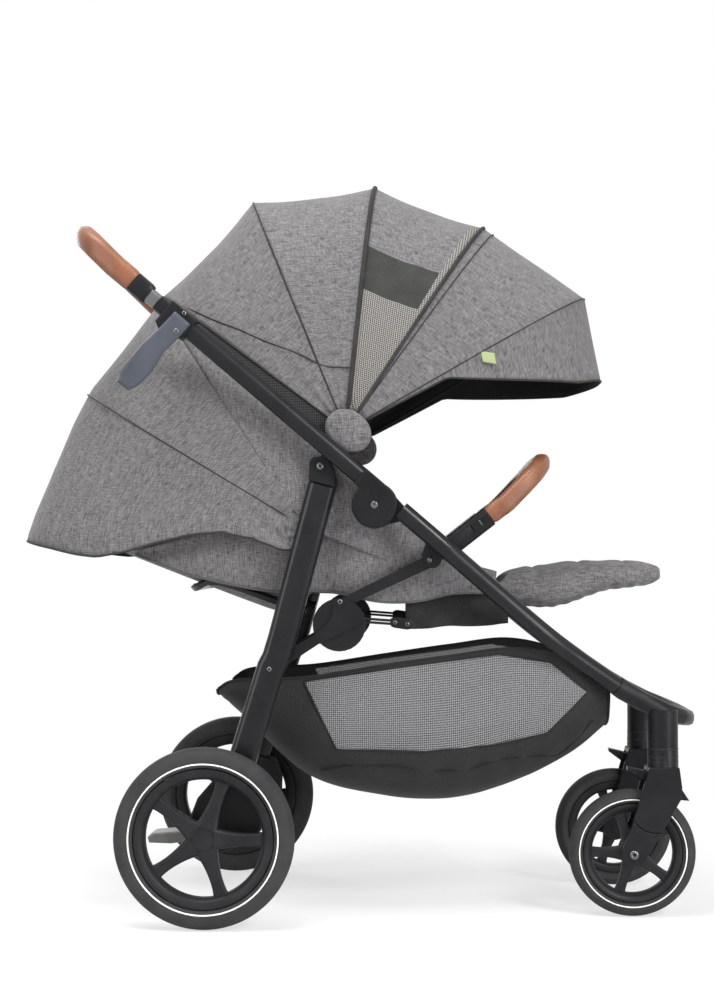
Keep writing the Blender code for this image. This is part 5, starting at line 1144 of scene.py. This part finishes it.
def stitches(name, path, aside, body):
    """Short raised threads laid end to end along a path, each a small spindle sunk at both ends."""
    run = run_along(path)
    ring = np.linspace(0, 2 * np.pi, 7)[:-1]
    points, faces = [], []
    for start in np.arange(0.004, run[-1] - 0.006, STITCH + STITCH_GAP):
        base = len(points)
        for share in (0.0, 0.25, 0.75, 1.0):
            here = start + STITCH * share
            centre = np.array([np.interp(here, run, path[:, k]) for k in range(3)])
            out = np.array([np.interp(here, run, aside[:, k]) for k in range(3)])
            ahead = np.array([np.interp(here + 0.001, run, path[:, k]) for k in range(3)]) - centre
            flat = np.cross(unit(ahead), out)
            size, low = (THREAD_RADIUS * 0.35, -0.0006) if share in (0.0, 1.0) else (THREAD_RADIUS, 0.0)
            for angle in ring:
                points.append(centre + out * low + size * (math.cos(angle) * out + math.sin(angle) * flat))
        for k in range(3):
            for i in range(6):
                j = (i + 1) % 6
                faces.append((base + 6 * k + i, base + 6 * k + j, base + 6 * k + 6 + j, base + 6 * k + 6 + i))
        faces.append(tuple(base + i for i in range(5, -1, -1)))
        faces.append(tuple(base + 18 + i for i in range(6)))
    obj = fix_normals(mesh_of(name, [tuple(map(float, p)) for p in points], faces))
    obj.data.materials.append(red_thread)
    settle(obj, body)


# The chassis tubes are drawn oval tubes: a smooth skin of that section stands for the built lower
# tubes, and carries the brackets kept of the upper ones.
TUBE_SIDE = 0.2565


def at(x, y, z):
    """A point given in the part's own frame, moved forward with the rest of the pushchair."""
    return (x + FORWARD_SHIFT, y, z)


def tube_line(*along):
    """Points of the left tube's middle line at distances from the fold."""
    return [along_frame(a, 0.0, TUBE_SIDE) for a in along]


lower_run = smooth_path([*tube_line(0.125), at(0.2529, 0.2200, 0.4477), at(0.3162, 0.1915, 0.3989),
                         at(0.3808, 0.1630, 0.3544)], 0.006)
lower_run = np.concatenate([tube_line(0.0355, 0.0365, 0.060, 0.090), lower_run])
upper_run = np.array(tube_line(-0.0455, -0.0465, -0.2, -0.3, -0.4275))
for side, sign in SIDES:
    for name, path, node in (("lower", lower_run, f"lower_tube_{side}"), ("upper", upper_run, None)):
        skin = swept(f"tube_{name}_skin_{side}", path * (1, sign, 1), 0.0242, 0.0280, 0.94, satin_tube, 48)[0]
        settle(skin, f"{name}_frame", node)


# The lower half of each fold hinge: a disc behind the shell, and the side link's bracket with a
# sleeve, both moulded and fixed to the inner face of the lower tube.
LINK_PIVOT = (0.1204, -0.0254)
ARM_X, ARM_Z = 0.789, 0.615
HINGE_INNER = 0.2375


def flat_plate(name, outline, near, far, body, width=0.0010, material=black_plastic, node=None):
    """An outline in the side view, thickened across the pushchair, with rounded edges."""
    count = len(outline)
    points = [(x, y, z) for y in (near, far) for x, z in outline]
    faces = [tuple(range(count)), tuple(range(2 * count - 1, count - 1, -1))]
    faces += [(i, (i + 1) % count, count + (i + 1) % count, count + i) for i in range(count)]
    obj = fix_normals(mesh_of(name, points, faces))
    smooth_edges(obj, material, width, segments=3)
    settle(obj, body, node)


def side_points(*places):
    """Points of the side view from distances along the frame and across it."""
    return [along_frame(along, across)[::2] for along, across in places]


def round_end(centre, radius, first, last, count):
    """Points of an arc in the frame's own side view, in degrees."""
    turn = np.radians(np.linspace(first, last, count))
    return side_points(*((centre[0] + radius * math.cos(t), centre[1] + radius * math.sin(t)) for t in turn))


def on_key(u, v):
    """A point of the bumper bar's release key, along the bar's arm and square to it."""
    return (0.1783 + ARM_X * u - ARM_Z * v, 0.6008 + ARM_Z * u + ARM_X * v)


disc = round_end((0.0, -0.020), 0.0350, 60, 345, 48)
disc += side_points((0.046, -0.0125), (0.060, -0.0120), (0.060, 0.008), (0.036, 0.008))
arm = side_points((0.096, 0.008), (0.096, -0.013), (0.1020, -0.0300))
arm += round_end(LINK_PIVOT, 0.0125, -100, 40, 16) + side_points((0.134, -0.012), (0.132, 0.008))
boss = round_end(LINK_PIVOT, 0.0078, 0, 352, 40)
key = []
for cx, cz, first in ((0.0080, 0.0055, 0), (-0.0080, 0.0055, 90),
                      (-0.0080, -0.0055, 180), (0.0080, -0.0055, 270)):
    for t in np.radians(np.linspace(first, first + 90, 6)):
        key.append(on_key(cx + 0.0014 * math.cos(t), cz + 0.0014 * math.sin(t)))
ridge = [on_key(u, v) for u, v in ((0.0036, -0.0042), (0.0058, -0.0042), (0.0058, 0.0042), (0.0036, 0.0042))]
for side, sign in SIDES:
    flat_plate(f"hinge_lower_{side}", disc, sign * HINGE_INNER, sign * 0.2430, "lower_frame",
               node=f"hinge_disc_{side}")
    flat_plate(f"link_bracket_{side}", arm, sign * HINGE_INNER, sign * 0.2440, "lower_frame", 0.0012)
    flat_plate(f"link_boss_{side}", boss, sign * 0.2240, sign * 0.2380, "lower_frame")
    # The release key of the bumper bar is a rectangle with a ridge across it.
    flat_plate(f"bar_key_{side}", key, sign * 0.2290, sign * 0.2330, f"bumper_release_{side}", 0.0006)
    flat_plate(f"bar_key_ridge_{side}", ridge, sign * 0.2320, sign * 0.2340, f"bumper_release_{side}", 0.0004,
               screw_steel)


# The two leather bars on their paths: the push bar between the telescopes, and the bumper bar with a
# tongue at each end that slides into its arm.
def leather_bar(name, half, loss, width, depth, power, body, node):
    """Leather over a path of two like halves, thinner at both ends; returns the path and its side."""
    path = both_halves(smooth_path(half, SMALL_STEP))
    end = np.minimum(np.arange(len(path)), np.arange(len(path))[::-1])
    swell = np.clip(1 - loss + loss * np.sin(np.pi * np.clip(end / 3.0, 0, 0.5)), 0, 1)
    bar, up = swept(name, path, width * swell, depth * swell, power, tan_leather)
    settle(bar, body, node)
    return path, up


grip_half = [*tube_line(-0.4962, -0.5162, -0.5362), at(-0.416, 0.2445, 1.025), at(-0.435, 0.2045, 1.043),
             at(-0.438, 0.150, 1.046), at(-0.438, 0.075, 1.046), at(-0.438, 0.0, 1.046)]
path, up = leather_bar("push_bar", grip_half, 0.10, 0.0278, 0.0348, 0.72, "handle", "handle_grip")
stitches("push_bar_stitches", path - up * 0.0139, -up, "handle")

bar_run = np.array([ARM_X, 0.0, ARM_Z])
bar_top = np.array(at(0.1838, 0.2175, 0.6143))
bar_half = [bar_top + bar_run * 0.0005, bar_top + bar_run * 0.018, bar_top + bar_run * 0.036,
            at(0.250, 0.2035, 0.676), at(0.266, 0.1635, 0.695), at(0.268, 0.105, 0.698),
            at(0.268, 0.050, 0.698), at(0.268, 0.0, 0.698)]
path, up = leather_bar("lap_bar", bar_half, 0.12, 0.0250, 0.0290, 0.75, "bumper", "bumper_bar")
stitches("lap_bar_stitches", path + up * 0.0125, up, "bumper")
for side, sign in SIDES:
    mirror = (1, sign, 1)
    path = np.linspace((bar_top - bar_run * 0.030) * mirror, (bar_top + bar_run * 0.012) * mirror, 4)
    tongue = swept(f"lap_bar_tongue_{side}", path, 0.0115, 0.0155, 0.5, satin_tube, 24)[0]
    settle(tongue, "bumper")


# Screws and rivets: low domes of dark steel with a six-sided socket, sunk a little into what they
# hold and fixed to its body.
SCREW_HEIGHT = 0.0016


def screw(name, x, z, face, sign, radius, body):
    """A dome turned about its axis across the pushchair, with a socket two fifths of its width."""
    well, height = 0.42 * radius, SCREW_HEIGHT
    profile = [(0.0, -0.2 * height), (well, -0.2 * height), (well, 0.75 * height),
               (1.2 * well, 0.98 * height), (0.72 * radius, 0.9 * height), (0.93 * radius, 0.5 * height),
               (radius, 0.0), (radius, -1.2 * height), (0.0, -1.2 * height)]

    def socket(turn, r, out):
        """The well's two rings drawn out to a hexagon."""
        r[:, 1:3] *= 0.93 / np.cos((turn % (np.pi / 3)) - np.pi / 6)
        return r

    obj = turned(name, profile, (x, sign * face, z), sign, 48, shape=socket)
    obj.data.materials.append(screw_steel)
    obj.data.set_sharp_from_angle(angle=math.radians(40))
    settle(obj, body)


for side, sign in SIDES:
    for name, x, z, face, radius, body in (
            ("paddle", -0.2745, 0.8900, 0.2838, 0.0044, "upper_frame"),
            ("leg_top", -0.0604, 0.6892, 0.2452, 0.0056, "upper_frame"),
            ("fold", 0.0219, 0.6300, 0.2718, 0.0058, "lower_frame"),
            ("leg_rivet", -0.1371, 0.3825, 0.2425, 0.0040, "rear_legs"),
            ("link_top", 0.1050, 0.5476, 0.2448, 0.0040, "lower_frame"),
            ("knee_upper", -0.0310, 0.4840, 0.2200, 0.0042, "front_links"),
            ("brake", -0.1920, 0.1890, 0.2426, 0.0042, "rear_legs"),
            ("front_axle", 0.4169, 0.0975, 0.1900, 0.0070, f"swing_{side}"),
            ("housing", -0.2640, 0.9180, 0.2716, 0.0038, "upper_frame")):
        screw(f"screw_{name}_{side}", x, z, face, sign, radius, body)

# Fine grooves run round each caster's swivel. They are drawn as dark rings that stand a little proud
# of the moulding and turn with it.
RING_RADIUS = 0.0236
turn = np.linspace(0, 2 * np.pi, 97)
for side, sign in SIDES:
    for k, height in enumerate((0.2570, 0.2450, 0.2370)):
        circle = grid(0.4527 + FORWARD_SHIFT + RING_RADIUS * np.cos(turn),
                      sign * 0.155 + RING_RADIUS * np.sin(turn), height)
        piping(f"caster_ring_{side}_{k}", circle, 0.0005, f"caster_{side}")

# The harness: five black webbing straps that meet in one buckle over the child's lap.
web_black = plain_cloth("web_black", (0.016, 0.016, 0.017), (0.036, 0.035, 0.035), scale=700.0)
WEB_THICK = 0.0016
STRAP_RING = np.array([(-1, 0.4), (-0.9, 1), (-0.45, 1), (0, 1), (0.45, 1), (0.9, 1), (1, 0.4), (1, -0.4),
                       (0.9, -1), (0, -1), (-0.9, -1), (-1, -0.4)])


def strap(name, path, width, thick, body, ahead=(0.0, 0.0, 1.0), material=web_black):
    """A flat strap swept along a path: its width lies square to the path and to a given direction."""
    path = smooth_path(path, 0.006)
    step = unit(np.gradient(path, axis=0))
    wide = unit(np.cross(step, np.array(ahead)))
    up = np.cross(wide, step)
    points = path[:, None] + wide[:, None] * STRAP_RING[None, :, :1] * width / 2
    points = points + up[:, None] * STRAP_RING[None, :, 1:] * thick / 2
    obj = fix_normals(surface(name, points, False, True))
    obj.data.materials.append(material)
    settle(obj, body)


def on_back(along, lift, side):
    """A point over the backrest: so far up it, so far off its middle plane, so far aside."""
    level, steep = math.cos(BACK_SLOPE), math.sin(BACK_SLOPE)
    return (-0.112 + FORWARD_SHIFT - along * level + lift * steep, side, 0.492 + along * steep + lift * level)


for side, sign in SIDES:
    over = [on_back(0.285, 0.010, sign * 0.058), on_back(0.262, 0.0185, sign * 0.057),
            on_back(0.16, 0.0195, sign * 0.050), on_back(0.06, 0.0205, sign * 0.036),
            at(-0.075, sign * 0.024, 0.545), at(-0.020, sign * 0.014, 0.552)]
    strap(f"shoulder_strap_{side}", over, 0.024, WEB_THICK,
          ("back_frame", "back", at(-0.100, 0.0, 0.53), at(-0.170, 0.0, 0.55)))
    strap(f"shoulder_pad_{side}", [on_back(0.235, 0.0215, sign * 0.0565), on_back(0.17, 0.023, sign * 0.0505),
                                   on_back(0.095, 0.0235, sign * 0.0405)],
          0.044, 0.007, "back", material=grey_pad)
    strap(f"lap_strap_{side}", [at(-0.098, sign * 0.150, 0.534), at(-0.090, sign * 0.135, 0.5435),
                                at(-0.060, sign * 0.085, 0.5475), at(-0.016, sign * 0.016, 0.5515)],
          0.024, WEB_THICK, "lower_frame", ahead=(0.3, 0.0, 1.0))
strap("crotch_strap", [at(0.072, 0.0, 0.534), at(0.060, 0.0, 0.546), at(0.030, 0.0, 0.551),
                       at(0.000, 0.0, 0.5530)], 0.030, WEB_THICK, "lower_frame")
buckle_path = [(-0.034 + FORWARD_SHIFT + 0.048 * t, 0.0, 0.5565) for t in np.linspace(0, 1, 15)]
buckle = swept("buckle", buckle_path, 0.042 * np.array([0.5, 0.8, 0.94] + [1] * 9 + [0.92, 0.78, 0.5]),
               0.011 * np.array([0.4, 0.75, 0.92] + [1] * 9 + [0.92, 0.75, 0.4]), 0.6, black_plastic)[0]
settle(buckle, "lower_frame")

# The plate that ties the seat's webbing to the lower tube on each side, with its two screws and two
# thin rods behind it.
PLATE_SIZE = np.array([0.55, 0.85, 0.97] + [1.0] * 6 + [0.97, 0.85, 0.55])
plate_ends = np.array([at(0.0330, 0.1930, 0.4530), at(0.0670, 0.1930, 0.4480)])
for side, sign in SIDES:
    path = np.linspace(plate_ends[0] * (1, sign, 1), plate_ends[1] * (1, sign, 1), 12)
    plate = swept(f"web_plate_{side}", path, 0.006 * PLATE_SIZE, 0.017 * PLATE_SIZE, 0.6, black_plastic)[0]
    settle(plate, "lower_frame")
    for k, lift in enumerate((0.0020, -0.0030)):
        ends = at(-0.012, sign * 0.1985, 0.4560 + lift), at(0.036, sign * 0.1930, 0.4525 + lift)
        path = np.linspace(*ends, 6)
        rod = swept(f"web_rod_{side}_{k}", path, 0.0040, 0.0040, 1.0, satin_tube, 16)[0]
        settle(rod, "lower_frame")
    for k in (0.22, 0.78):
        x, _, z = plate_ends[0] + (plate_ends[1] - plate_ends[0]) * k
        screw(f"web_plate_screw_{side}_{int(k * 100)}", x, z, 0.1959, sign, 0.0036, "lower_frame")

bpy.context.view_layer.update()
